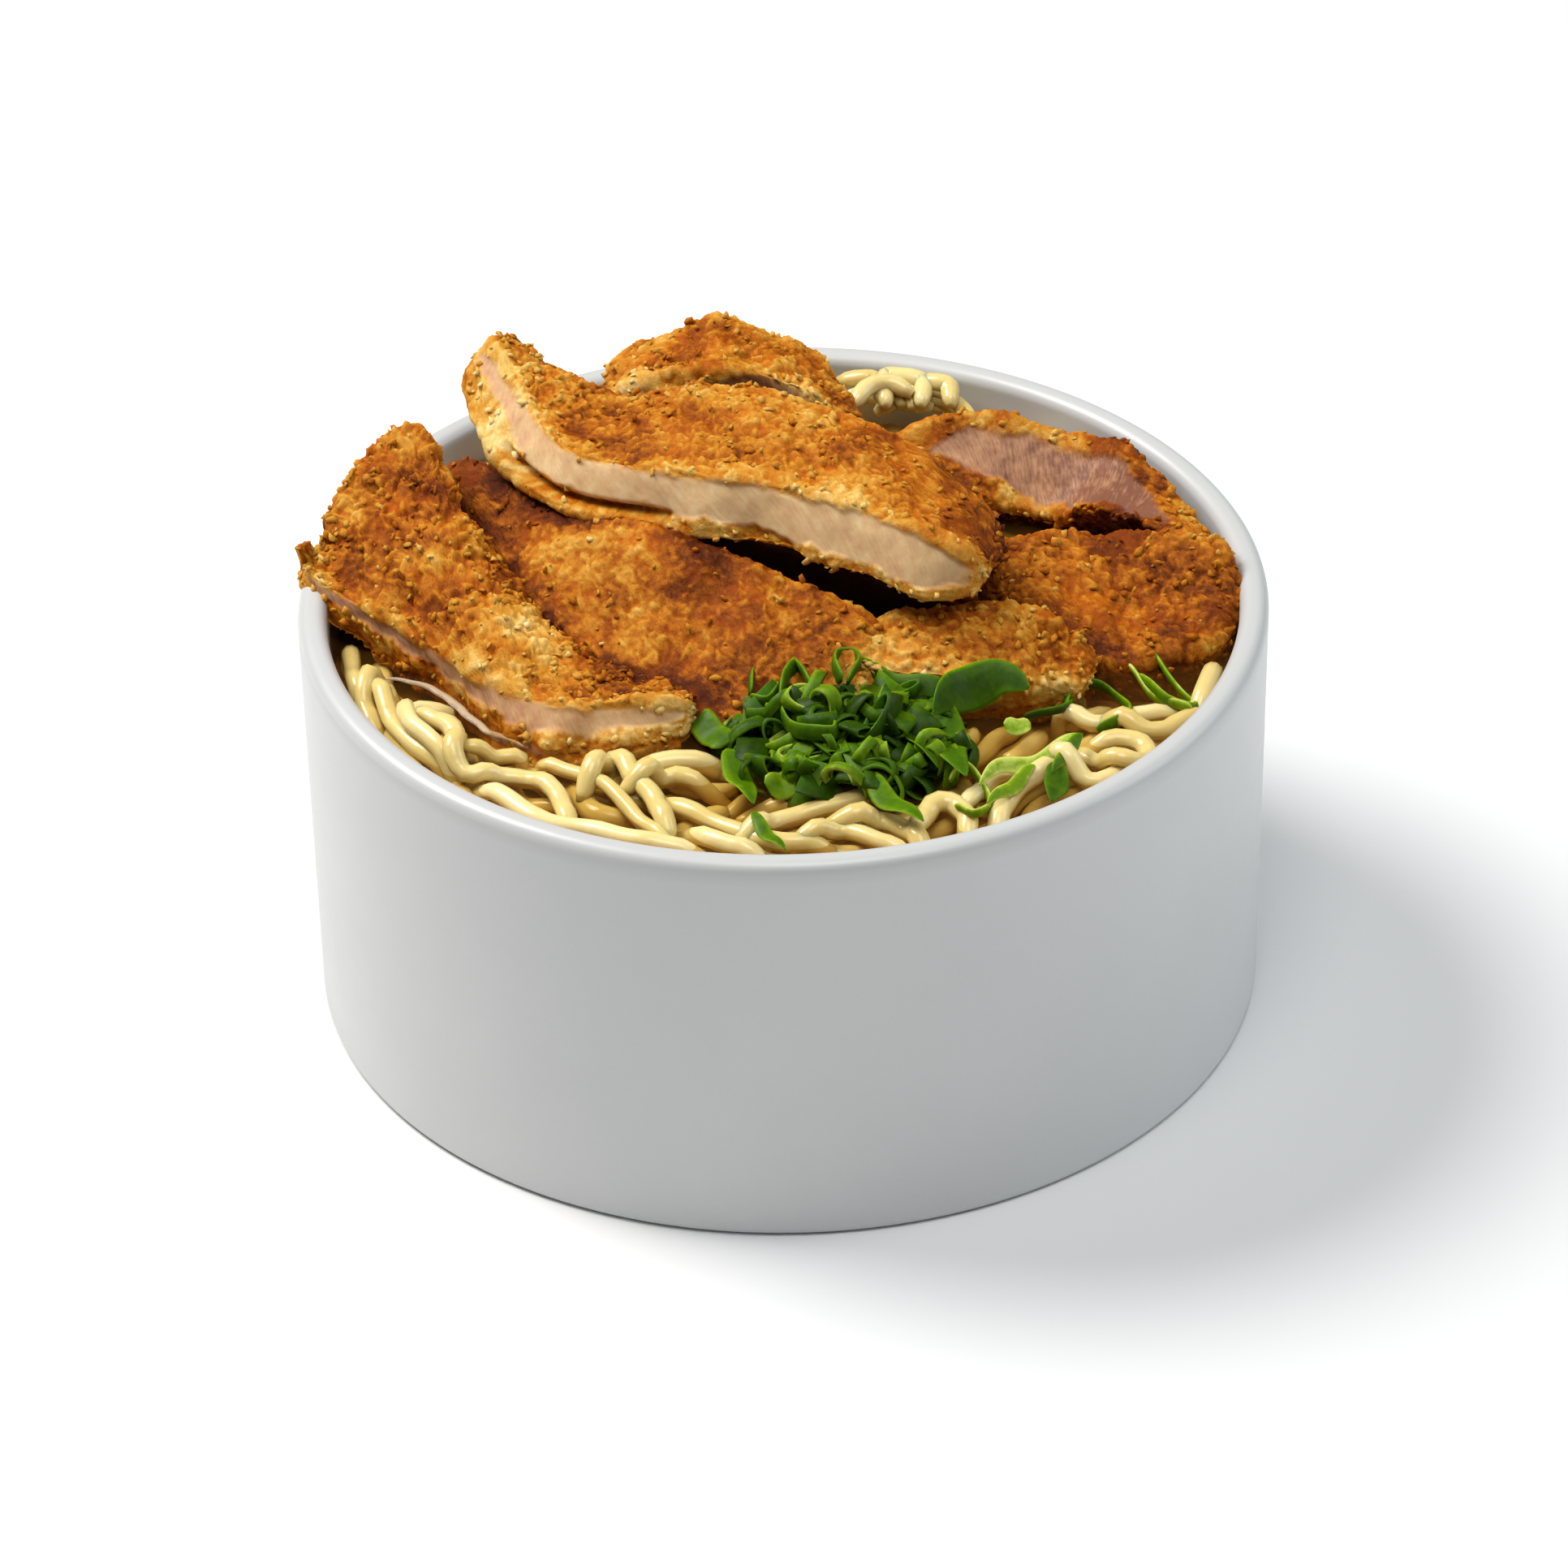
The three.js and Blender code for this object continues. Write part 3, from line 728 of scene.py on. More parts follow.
def slice_rows(count):
    """Shares along the slice and how full its section is there, with rounded ends."""
    share = np.linspace(0, 1, 20 * CAP_ROWS) ** 2
    curve = np.stack([END_TAPER * share, CAP_FULLNESS * np.sqrt(1 - (1 - share) ** 4)], -1)
    travel = travelled(curve)
    where = np.linspace(0, travel[-1], CAP_ROWS + 1)[1:]
    cap, fullness = (np.interp(where, travel, curve[:, k]) for k in range(2))
    fullness = fullness / CAP_FULLNESS
    middle = np.linspace(END_TAPER, 1 - END_TAPER, count - 2 * CAP_ROWS)[1:-1]
    s = np.concatenate([cap, middle, (1 - cap)[::-1]])
    full = np.concatenate([fullness, np.ones(len(middle)), fullness[::-1]])
    return s, full


def slice_surface(plan):
    """Rings of points of a slice before its relief, and the grid's shares along, across and up."""
    rows, across_steps, up_steps = plan["steps"]
    s, full = slice_rows(rows)
    across, up = section(across_steps, up_steps).T
    front, back = (np.array(plan[name], float) + [0, 0, BOWL_HEIGHT] for name in ("front", "back"))
    back_edge = rail(back, s)
    side = (rail(front, s) - back_edge) / 2
    reach = 1e-3
    tangent = unit(sum(rail(line, s + reach) - rail(line, s - reach) for line in (front, back)))
    upward = unit(np.cross(side, tangent))
    half = along(plan["thickness"], s)[:, None] / 2
    rounding = np.where(across > 0, CRUST_ROUNDING, CUT_ROUNDING)
    v = -across * np.sqrt(1 - rounding * up**2 / 2)
    w = up * np.sqrt(1 - rounding * across**2 / 2)
    shift = np.maximum(0, -across) * (1 - up) / 2
    for _ in range(SECTION_SMOOTHING):
        v, w, shift = ((np.roll(a, 1) + 2 * a + np.roll(a, -1)) / 4 for a in (v, w, shift))
    lean = along(plan["lean"], s)[:, None] * unit(side)
    centre = (back_edge + side - upward * half)[:, None]
    rings = centre + side[:, None] * (full[:, None] * v)[..., None]
    rings = rings + upward[:, None] * (full[:, None] * w * half)[..., None]
    rings = rings + lean[:, None] * (full[:, None] * shift)[..., None]
    return rings, s, across, up, half


def grid_normals(rings):
    ahead = np.gradient(rings, axis=0)
    around = np.roll(rings, -1, axis=1) - np.roll(rings, 1, axis=1)
    return unit(np.cross(around, ahead))


def on_cut_face(across):
    return np.where(across < CUT_FACE, 1.0, 0.0)


def meat_share(plan, s, across, up, points):
    """1 on the bare meat of the cut face and 0 on the crust, with a ragged edge between them."""
    if not plan["meat"]:
        return np.zeros(len(points))
    where, low, high = np.array(plan["meat"]).T
    start, end = where[0], where[-1]
    ragged = layered(points, RAGGED_EDGE, 5)
    low_here = np.interp(s, where, low) + ragged
    high_here = np.interp(s, where, high) + 0.7 * ragged
    above = smoothstep(low_here - 0.1, low_here + 0.1, up)
    below = smoothstep(high_here + 0.12, high_here - 0.12, up)
    ends = smoothstep(start - 0.01, start + 0.02, s) * smoothstep(end + 0.01, end - 0.02, s)
    return on_cut_face(across) * (above * below) * ends


def peeled(plan, s, across, up):
    """Depth of the groove where the lower crust has come away from the meat of the cut face."""
    if "peel" not in plan:
        return 0
    start, end, middle, half_width, depth = plan["peel"]
    length = smoothstep(start, start + 0.04, s) * smoothstep(end, end - 0.06, s)
    groove = np.exp(-(((up - middle) / half_width) ** 2)) * depth
    swollen = smoothstep(middle - 0.8 * half_width, middle - 2.5 * half_width, up)
    return on_cut_face(across) * length * (groove - swollen)


# Knobs of the coating by size and height, and how far and how finely they are bent out of round.
KNOBS = ((2.9, 0.75), (1.75, 0.8), (1.1, 0.5))
KNOB_BEND = 0.9
KNOB_BEND_SIZE = 2.0


def crumbs(points, seed):
    """Relief of the crumb coating from 0 to about 1: knobs of several sizes with creases between."""
    bend = np.stack([noise(points, KNOB_BEND_SIZE, seed + k) for k in range(3)], -1)
    bent = points + KNOB_BEND * bend
    knobs = []
    for size, height in KNOBS:
        gap, pick = grains(bent, size, seed + int(10 * size))
        knobs.append(height * (0.3 + 0.7 * pick) * np.clip(1.15 - (gap / 0.7) ** 2, 0, 1))
    return np.maximum(knobs[0], knobs[1]) + knobs[2]


def icosphere(subdivisions):
    ball = bmesh.new()
    bmesh.ops.create_icosphere(ball, subdivisions=subdivisions, radius=1.0)
    points = np.array([v.co[:] for v in ball.verts])
    faces = [[v.index for v in face.verts] for face in ball.faces]
    ball.free()
    return points, faces


def lying_turn(normal, tilt, random):
    """A turn that lays a flat thing on a surface with this normal, up to a tilt in radians off it."""
    upright = unit(normal + math.tan(tilt) * random.uniform(-1, 1, 3))
    first = unit(np.cross(upright, random.normal(size=3)))
    return np.stack([first, np.cross(upright, first), upright], -1)


# Loose crumbs: their size, how long, wide and thick they are for it, and how jagged and tilted.
FLAKE_SIZES = (0.3, 0.85)
FLAKE_SPANS = ((1.0, 1.4), (0.7, 1.0), (0.4, 0.7))
FLAKE_JAG = 0.45
FLAKE_TILT = 0.7


def add_flakes(shape, points, normals, weight, tone, count, random):
    """Loose crumbs and flakes that stand out of the coating."""
    knobs, sides = icosphere(1)
    chosen = random.choice(len(points), count, p=weight / weight.sum())
    for k in chosen:
        size = random.uniform(*FLAKE_SIZES)
        stretch = size * np.array([random.uniform(*span) for span in FLAKE_SPANS])
        jag = np.clip(1 + FLAKE_JAG * random.normal(size=(len(knobs), 1)), 0.4, 1.7)
        crumb = (knobs * jag * stretch) @ lying_turn(normals[k], FLAKE_TILT, random).T
        place = points[k] + normals[k] * size * random.uniform(0.05, 0.4)
        light = tone[k] + random.uniform(-0.2, 0.4)
        shape.add(place + crumb, sides, relief=random.uniform(0.5, 1.0), tone=light)


def katsu(name, index, surfaces):
    """The shape of a slice with its coating and crumbs, and the points of its surface."""
    plan = SLICE_DEFAULTS | SLICES[name]
    rings, s, across, up, half = surfaces[name]
    apart = [other for other in SLICES if other not in (name, plan.get("beside"))]
    others = np.concatenate([surfaces[other][0].reshape(-1, 3)[::SHADOW_STEP] for other in apart])
    rows, around, _ = rings.shape
    normals = grid_normals(rings)
    if np.sum((rings - rings.mean((0, 1))) * normals) < 0:
        normals = -normals
    flat, outward = rings.reshape(-1, 3), normals.reshape(-1, 3)
    s_all, across_all, up_all = np.repeat(s, around), np.tile(across, rows), np.tile(up, rows)
    seed = 100 * index
    meat = meat_share(plan, s_all, across_all, up_all, flat)
    on_cut = on_cut_face(across_all)
    swell = layered(flat, ((LUMP_SIZE, LUMP_HEIGHT), (CRAG_SIZE, CRAG_HEIGHT * plan["crumbs"])), seed)
    coat = crumbs(flat, seed + 2)
    rough = plan["crumbs"] * (1 + 0.35 * noise(flat, 9, seed + 3)) * np.where(on_cut > 0, CUT_CRUMBS, 1)
    grain_y = up_all * np.repeat(half[:, 0], around)
    grain_x = s_all * SLICE_LENGTH + grain_y * FIBRE_SLANT
    fibre = noise(np.stack([grain_x, grain_y * FIBRE_STRETCH, 0 * grain_x], -1), FIBRE_SIZE, seed + 4)
    crust_lift = swell + rough * (COAT_HEIGHT * coat - COAT_SUNK)
    meat_lift = MEAT_LUMPS * swell - MEAT_SUNK + FIBRE_HEIGHT * fibre
    lift = (1 - meat) * crust_lift + meat * meat_lift - peeled(plan, s_all, across_all, up_all)
    flat = flat + outward * lift[:, None]
    # The crust is dark and moist near the broth, and painted shade darkens it where another slice is near.
    wet = WET_DARKNESS * smoothstep(WET_ABOVE_BROTH, 0, flat[:, 2] - BROTH_LEVEL)
    slice_shade = SLICE_SHADE_DARKNESS * np.exp(-nearest_distance(others, flat) / SLICE_SHADE_REACH)
    tone = layered(flat, TONE_PATCHES, seed + 6) - along(plan["brown"], s_all) - wet
    tone = tone + CUT_CRUST_LIGHT * on_cut - slice_shade * (1 - 0.85 * on_cut)
    if plan["meat"]:
        tone = tone + EDGE_LIGHT * smoothstep(-0.55, -0.95, across_all)
    traits = {
        "meat": meat,
        # Relief is painted as shade in the crevices and a highlight on the tips.
        "relief": np.clip(coat / COAT_TOP, 0, 1),
        "tone": tone,
        "red": along(plan["red"], s_all),
        "grain_x": grain_x * MM,
        "grain_y": grain_y * MM,
    }
    shape = Shape(*traits)
    at_ends = {name: [0.5, 0.5] if name == "relief" else [0, 0] for name in traits}
    padded = {name: np.append(values, at_ends[name]) for name, values in traits.items()}
    shape.add(*closed_grid(flat.reshape(rows, around, 3)), **padded)
    random = np.random.default_rng(seed)
    weight = (1 - meat) * (0.3 + coat) * np.repeat(np.gradient(s), around)
    add_flakes(shape, flat, outward, weight, tone, plan["flakes"], random)
    return shape, flat


# Maps of heights, for laying strands on what is under them

MAP_STEP = 0.75
MAP_REACH = 84
MAP_CELLS = int(2 * MAP_REACH / MAP_STEP)
OPEN_SKY = 999.0


def map_cell(x, y):
    return tuple(np.clip(((v + MAP_REACH) / MAP_STEP).astype(int), 0, MAP_CELLS - 1) for v in (x, y))


def lowest_map(points):
    """Lowest height of these points over each cell, and open sky where there are none."""
    heights = np.full((MAP_CELLS, MAP_CELLS), OPEN_SKY)
    np.minimum.at(heights, map_cell(points[:, 0], points[:, 1]), points[:, 2])
    return heights


def near(heights, xy, reach):
    """Heights on the map at each place, and on two rings within reach of it."""
    turn = 2 * np.pi * np.arange(8) / 8
    ring = np.stack([np.cos(turn), np.sin(turn)], -1)
    steps = np.concatenate([[[0, 0]], ring * reach / 2, ring * reach])
    return np.array([heights[map_cell(*(xy + step).T)] for step in steps])


def press(heights, path, radius):
    """Raises the map to the top of a strand that was laid along the path."""
    steps = np.arange(-radius, radius + 0.1, MAP_STEP / 2)
    for dx in steps:
        for dy in steps:
            room = radius**2 - dx**2 - dy**2
            if room > 0:
                where = map_cell(path[:, 0] + dx, path[:, 1] + dy)
                np.maximum.at(heights, where, path[:, 2] + math.sqrt(room))


def settle(values, passes):
    """The values along a line, with their jumps evened out."""
    for _ in range(passes):
        padded = np.pad(values, 1, mode="edge")
        values = (padded[:-2] + 2 * values + padded[2:]) / 4
    return values


# The noodles

NOODLE_WIDTH = 3.7
NOODLE_REACH = 75.2
NOODLE_SIDES = 10
NOODLE_SEED = 11
STRAND_DENT = 0.12
BED_HEIGHT = BROTH_LEVEL - 5.2
LOWEST_STRANDS = BROTH_LEVEL - 6.9
STRAND_STEP = 1.6
LAY_REACH = 0.35
LAY_HEIGHT = 0.36
PHOTO_STRAND_FLOOR = BROTH_LEVEL - 1.7
PHOTO_STRAND_LEVEL = BROTH_LEVEL + 1.6
BACK_STRAND_WIDTH = 0.95 * NOODLE_WIDTH
BACK_STRAND_ARCH = 1.2

# Strands laid at random: the fewest points that one keeps, how far it may run into a slice above,
# its length, how it winds, with angles in radians, and how far it goes in under a slice.
FILL_TRIES = 2200
FILL_TOP = BROTH_LEVEL + 0.5
FILL_SHORTEST = 9
FILL_INTO_SLICE = 1
FILL_LENGTHS = (40, 110)
WANDER_STEP = 1.5
WANDER_TURN = 0.35
WAVE_LENGTHS = (20, 32)
WAVE_SWINGS = (0.3, 0.8)
TIGHTEST_ROUND = 20
CURL_JITTER = 0.03
UNDER_SLICE_REACH = 5

# The ends of a strand bend down out of sight, over this length and by this much.
DIVE_LENGTH = 7
DIVE_DEPTH = 3.6

# The dark gap between the long slice and the one in front of it: its ends and half its width.
GAP_ENDS = np.array([[-17.0, 31.0], [31.0, 0.0]])
GAP_HALF = 12
GAP_BLUR = 2

# Strands that show in the photograph, by pixels along each of them, in the order that they lie.
NOODLES_IN_PHOTO = {
    "left_dim": [(431, 787), (434, 815), (438, 849)],
    "right_dim": [(1476, 862), (1494, 840), (1508, 806)],
    "behind_scallions": [(782, 936), (826, 930), (871, 928)],
    "right_back": [(1320, 872), (1346, 880), (1387, 876), (1436, 867)],
    "right_far": [(1326, 835), (1360, 824), (1392, 822)],
    "left_hook": [(451, 886), (448, 862), (457, 842), (470, 838), (482, 848)],
    "left_short": [(471, 862), (484, 888), (509, 912), (548, 934)],
    "left_loop": [(532, 866), (512, 866), (500, 880), (506, 902), (530, 920), (552, 938)],
    "rim_low": [(600, 962), (666, 1001), (719, 1010), (782, 1026), (853, 1034)],
    "left_wave": [
        (530, 878), (556, 894), (565, 920), (560, 944), (580, 954), (612, 948), (657, 950), (684, 968),
        (697, 992),
    ],
    "left_band": [(600, 928), (640, 924), (676, 932), (719, 948), (759, 974), (791, 1001), (809, 1014)],
    "middle_low": [(826, 979), (871, 997), (916, 1016), (960, 1030), (1010, 1030)],
    "rim_front": [(853, 1012), (884, 1028), (930, 1040)],
    "middle_fold": [(728, 955), (744, 936), (762, 932), (782, 956), (806, 983), (818, 1004)],
    "middle_short": [(790, 962), (826, 948), (868, 954)],
    "right_low": [(1000, 1024), (1040, 1014), (1079, 1026), (1110, 1034)],
    "right_short": [(1047, 1008), (1092, 1005), (1123, 1017), (1134, 1028)],
    "long_middle": [(930, 1014), (955, 1002), (989, 992), (1047, 979), (1090, 966)],
    "right_hook": [(1137, 1000), (1150, 985), (1170, 982), (1190, 994), (1192, 1012)],
    "right_upper": [(1200, 972), (1230, 948), (1270, 938), (1310, 940)],
    "right_rise": [(1228, 1008), (1238, 985), (1260, 962), (1290, 946)],
    "right_under": [(1300, 934), (1346, 952), (1384, 938)],
    "right_curl": [(1325, 912), (1360, 932), (1391, 938), (1415, 924), (1408, 908), (1380, 902), (1350, 906)],
    "right_edge": [(1380, 885), (1410, 892), (1440, 888), (1464, 876)],
}

# The clump that stands at the back, by pixels, and the height of each strand's middle.
NOODLES_AT_BACK = {
    "clump_low_left": (72.5, [(1030, 500), (1060, 492), (1100, 498), (1150, 502)]),
    "clump_low_right": (72.5, [(1080, 508), (1120, 492), (1170, 500), (1200, 520)]),
    "clump_low_back": (71.5, [(1060, 484), (1100, 476), (1140, 480), (1180, 494)]),
    "clump_inner": (74.0, [(1112, 500), (1110, 478), (1118, 470), (1126, 480), (1124, 504)]),
    "clump_middle": (74.5, [(1084, 452), (1110, 446), (1142, 450), (1166, 462), (1178, 486)]),
    "clump_left": (74.5, [(1036, 452), (1060, 453), (1076, 468), (1088, 496)]),
    "clump_loop": (75.5, [(1092, 500), (1090, 474), (1106, 458), (1126, 458), (1138, 474), (1134, 500)]),
    "clump_right": (75.5, [(1128, 462), (1150, 458), (1166, 470), (1172, 500)]),
    "clump_over": (76.5, [(1050, 500), (1072, 482), (1100, 478), (1124, 486)]),
    "far_bit": (70.5, [(1290, 520), (1320, 528), (1345, 545)]),
}


def held_in(xy):
    """The points, with those too near the bowl's wall moved in."""
    reach = np.maximum(np.hypot(*xy.T), 1)
    return xy * np.minimum(1, NOODLE_REACH / reach)[:, None]


def wandering_path(random):
    """A crinkled strand that runs roughly round the bowl."""
    travel = np.arange(0, random.uniform(*FILL_LENGTHS), WANDER_STEP)
    start = random.uniform(0, 2 * np.pi)
    from_middle = NOODLE_REACH * math.sqrt(random.uniform(0.05, 1))
    heading = start + np.pi / 2 + random.normal() * WANDER_TURN
    wave = random.uniform(*WAVE_LENGTHS)
    swing = random.uniform(*WAVE_SWINGS) * np.sin(2 * np.pi * travel / wave + random.uniform(0, 6))
    jitter = random.normal(size=len(travel)) * CURL_JITTER
    bearing = heading + np.cumsum(WANDER_STEP / max(from_middle, TIGHTEST_ROUND) + jitter) + swing
    x = from_middle * math.cos(start) + np.cumsum(WANDER_STEP * np.cos(bearing))
    y = from_middle * math.sin(start) + np.cumsum(WANDER_STEP * np.sin(bearing))
    return np.stack([settle(line, 3) for line in held_in(np.stack([x, y], -1)).T], -1)


def add_strand(shape, heights, path, width, random):
    """Adds a strand, and raises the map to its top."""
    rings = tube(path, width, NOODLE_SIDES, random.uniform(0.82, 0.96), random.uniform(-1.5, 1.5))
    dents = STRAND_DENT * noise(rings.reshape(-1, 3), 4, 8)
    rings += dents.reshape(rings.shape[:2])[..., None]
    shape.add(*closed_grid(rings), tone=random.uniform(0, 1))
    press(heights, path, width / 2)


def gap_share(xy):
    """1 at points in the dark gap between the slices, and 0 away from it."""
    ahead = GAP_ENDS[1] - GAP_ENDS[0]
    share = np.clip((xy - GAP_ENDS[0]) @ ahead / (ahead @ ahead), 0, 1)
    aside = np.linalg.norm(xy - GAP_ENDS[0] - share[:, None] * ahead, axis=1)
    return smoothstep(GAP_HALF + GAP_BLUR, GAP_HALF - GAP_BLUR, aside)


def lengthened(xy, length):
    """The path with a straight stretch of this length added at each end."""
    first, last = unit(xy[0] - xy[1]), unit(xy[-1] - xy[-2])
    steps = np.linspace(0, length, 6)[1:, None]
    return np.concatenate([xy[0] + first * steps[::-1], xy, xy[-1] + last * steps])


def dived(path, depth):
    """The strand with both ends bent down, so that they go out of sight."""
    travel = travelled(path)
    from_end = np.minimum(travel, travel[-1] - travel)
    path = path.copy()
    path[:, 2] -= depth * (1 - smoothstep(0, DIVE_LENGTH, from_end))
    return path


def lay(xy, width, heights):
    """Heights of the middle of a strand that lies on the map, pressed a little into it."""
    z = near(heights, xy, LAY_REACH * width).max(0) + LAY_HEIGHT * width
    return settle(np.maximum(z, settle(z, 6)), 6)


def longest_run(good):
    """The longest stretch without a break in which good holds, as a slice."""
    breaks = np.concatenate([[-1], np.flatnonzero(~good), [len(good)]])
    best = np.argmax(np.diff(breaks))
    return slice(breaks[best] + 1, breaks[best + 1])


def fill_strands(shape, heights, ceiling, random):
    """Strands laid at random, clear of the slices and of the dark gap."""
    uncovered = np.where(ceiling == OPEN_SKY, 1.0, 0.0)
    for _ in range(FILL_TRIES):
        xy = wandering_path(random)
        width = NOODLE_WIDTH * random.uniform(0.88, 1.08)
        z = lay(xy, width, heights)
        room = near(ceiling, xy, width / 2).min(0) - width / 2 - z
        open_above = near(uncovered, xy, UNDER_SLICE_REACH).max(0) > 0
        low = (z + width / 2 < FILL_TOP) & (room > -FILL_INTO_SLICE)
        path = np.column_stack([xy, z])[longest_run(low & open_above & (gap_share(xy) < 0.5))]
        if len(path) >= FILL_SHORTEST:
            path = dived(evenly(path, STRAND_STEP), DIVE_DEPTH / 3)
            add_strand(shape, heights, path, width, random)


def noodles(ceiling):
    """The noodles under a map of the slices' undersides. Gives back the map of their tops."""
    random = np.random.default_rng(NOODLE_SEED)
    heights = np.full((MAP_CELLS, MAP_CELLS), LOWEST_STRANDS)
    shape = Shape("tone")
    fill_strands(shape, heights, ceiling, random)
    heights = np.maximum(heights, PHOTO_STRAND_FLOOR)
    for pixels in NOODLES_IN_PHOTO.values():
        seen = photo_path(pixels, PHOTO_STRAND_LEVEL)[:, :2]
        xy = held_in(lengthened(seen, 0.6 * DIVE_LENGTH))
        width = NOODLE_WIDTH * random.uniform(0.88, 1.04)
        z = np.minimum(lay(xy, width, heights), near(ceiling, xy, width / 2).min(0) - width / 2)
        path = dived(evenly(np.column_stack([xy, z]), STRAND_STEP), DIVE_DEPTH)
        add_strand(shape, heights, path, width, random)
    for height, pixels in NOODLES_AT_BACK.values():
        path = evenly(photo_path(pixels, height), STRAND_STEP)
        path[:, :2] = held_in(path[:, :2])
        path[:, 2] += BACK_STRAND_ARCH * np.sin(np.linspace(0, np.pi, len(path)))
        add_strand(shape, heights, path, BACK_STRAND_WIDTH, random)
    shape.make("noodle_strands", noodle_look(), "noodle", "noodles")
    return heights


BED_LUMPS = ((7, 1), (3.5, 0.5), (1.75, 0.25))
BED_SEED = 21
GAP_BED_RISE = 1.5
BED_RINGS = 32
BED_AROUND = 120
BED_CLEARANCE = 0.5
BED_BOTTOM = BED_HEIGHT - 9
LAYER_SKIRT = 40


def add_layer(shape, top, overlap, bottom):
    """Closes a layer that fills the bowl: the rings of its top, down to its flat bottom."""
    profile = [(inner_wall_radius(bottom) + overlap, bottom), (LAYER_SKIRT, bottom), (1, bottom)]
    points, faces = closed_grid(np.concatenate([top, lathe(profile, top.shape[1])]))
    # Points in the gap between the slices are marked for painted shade.
    shape.add(points, [face[::-1] for face in faces], dark=gap_share(points[:, :2]))


def noodle_bed():
    """What lies deep in the broth, under the strands that show. Its colour darkens with depth and in the gap
    between the slices: painted shade.
    """
    radii = np.linspace(1, inner_wall_radius(BED_HEIGHT) - BED_CLEARANCE, BED_RINGS)
    rings = lathe([(r, BED_HEIGHT) for r in radii], BED_AROUND)
    top = rings.reshape(-1, 3)
    # Under the gap between the slices the bed rises, and it is painted near black there as shade.
    top[:, 2] += layered(top, BED_LUMPS, BED_SEED) + GAP_BED_RISE * gap_share(top[:, :2])
    shape = Shape("dark")
    add_layer(shape, rings, -BED_CLEARANCE, BED_BOTTOM)
    shape.make("noodle_bed", core_look(), "noodle")


# The broth

BROTH_RINGS = 100
BROTH_AROUND = 360
BROTH_OVERLAP = 0.3
BROTH_BOTTOM = BED_HEIGHT - 3
MENISCUS_HEIGHT = 1.3
MENISCUS_WIDTH = 1.3
RIPPLE_HEIGHT = 0.12

# A bright line where the broth's edge shows, by pixels along it: a bead of broth with a painted highlight in
# its pale colour.
FILM_WIDTH = 1.7
FILM_LEVEL = BROTH_LEVEL + 0.5
FILM_STEP = 0.5
FILM_WOBBLE = 0.35
FILM_EDGES = {
    "left": [(470, 834), (500, 840), (540, 852), (575, 880), (610, 905), (646, 920)],
    "right": [(1435, 808), (1460, 803), (1480, 790)],
}


def broth(slices):
    """The broth. It creeps up the bowl's wall and the slices, which are given by their points."""
    edge = inner_wall_radius(BROTH_LEVEL) + BROTH_OVERLAP
    radii = edge * np.linspace(0.004, 1, BROTH_RINGS) ** 0.8
    rings = lathe([(r, BROTH_LEVEL) for r in radii], BROTH_AROUND)
    top = rings.reshape(-1, 3)
    shore = slices[np.abs(slices[:, 2] - BROTH_LEVEL) < 0.5][::2]
    flattened = [1, 1, 0]
    to_slice = nearest_distance(shore * flattened, top * flattened)
    to_wall = edge - np.hypot(top[:, 0], top[:, 1])
    for gap in (to_slice, to_wall):
        top[:, 2] += MENISCUS_HEIGHT * np.exp(-gap / MENISCUS_WIDTH)
    top[:, 2] += RIPPLE_HEIGHT * noise(top, 9, 31)
    shape = Shape("film", "dark")
    add_layer(shape, rings, BROTH_OVERLAP, BROTH_BOTTOM)
    for pixels in FILM_EDGES.values():
        path = evenly(photo_path(pixels, FILM_LEVEL), FILM_STEP)
        path[:, :2] += FILM_WOBBLE * noise(path, 3, 41)[:, None]
        breadth = FILM_WIDTH * np.sin(np.pi * np.linspace(0.02, 0.98, len(path))) ** 0.5
        shape.add(*closed_grid(tube(path, breadth, 8, 0.5)), film=1.0)
    shape.make("broth_clear", broth_look(), "broth", "broth")


# The spring onion

HEAP_SEED = 23
HEAP_MIDDLE = (10, -37)
HEAP_HALF = (20, 16)
HEAP_RISE = 9.5
HEAP_CLEARANCE = 1.0
# How much lighter the top of the heap is painted: painted light.
HEAP_TOP_LIGHT = 0.15
RING_POINTS = 28
LEAF_WALL = 0.6
LEAF_STEP = 0.5
LEAF_SIDES = 10
LEAF_WAVE = 0.035
LOOP_WALL = 0.9

# Chopped pieces in the heap: how many, their radius, length, flatness, tilt and lightness.
HEAP_PIECES = {
    "block": (56, (2.8, 4.4), (3.0, 6.0), (0.2, 0.5), 0.8, (0.0, 0.35)),
    "strip": (24, (3.2, 4.6), (6.0, 10.0), (0.08, 0.2), 0.6, (0.15, 0.4)),
    "ring": (90, (2.6, 4.6), (1.2, 2.8), (0.55, 0.95), 1.3, (0.15, 0.55)),
}

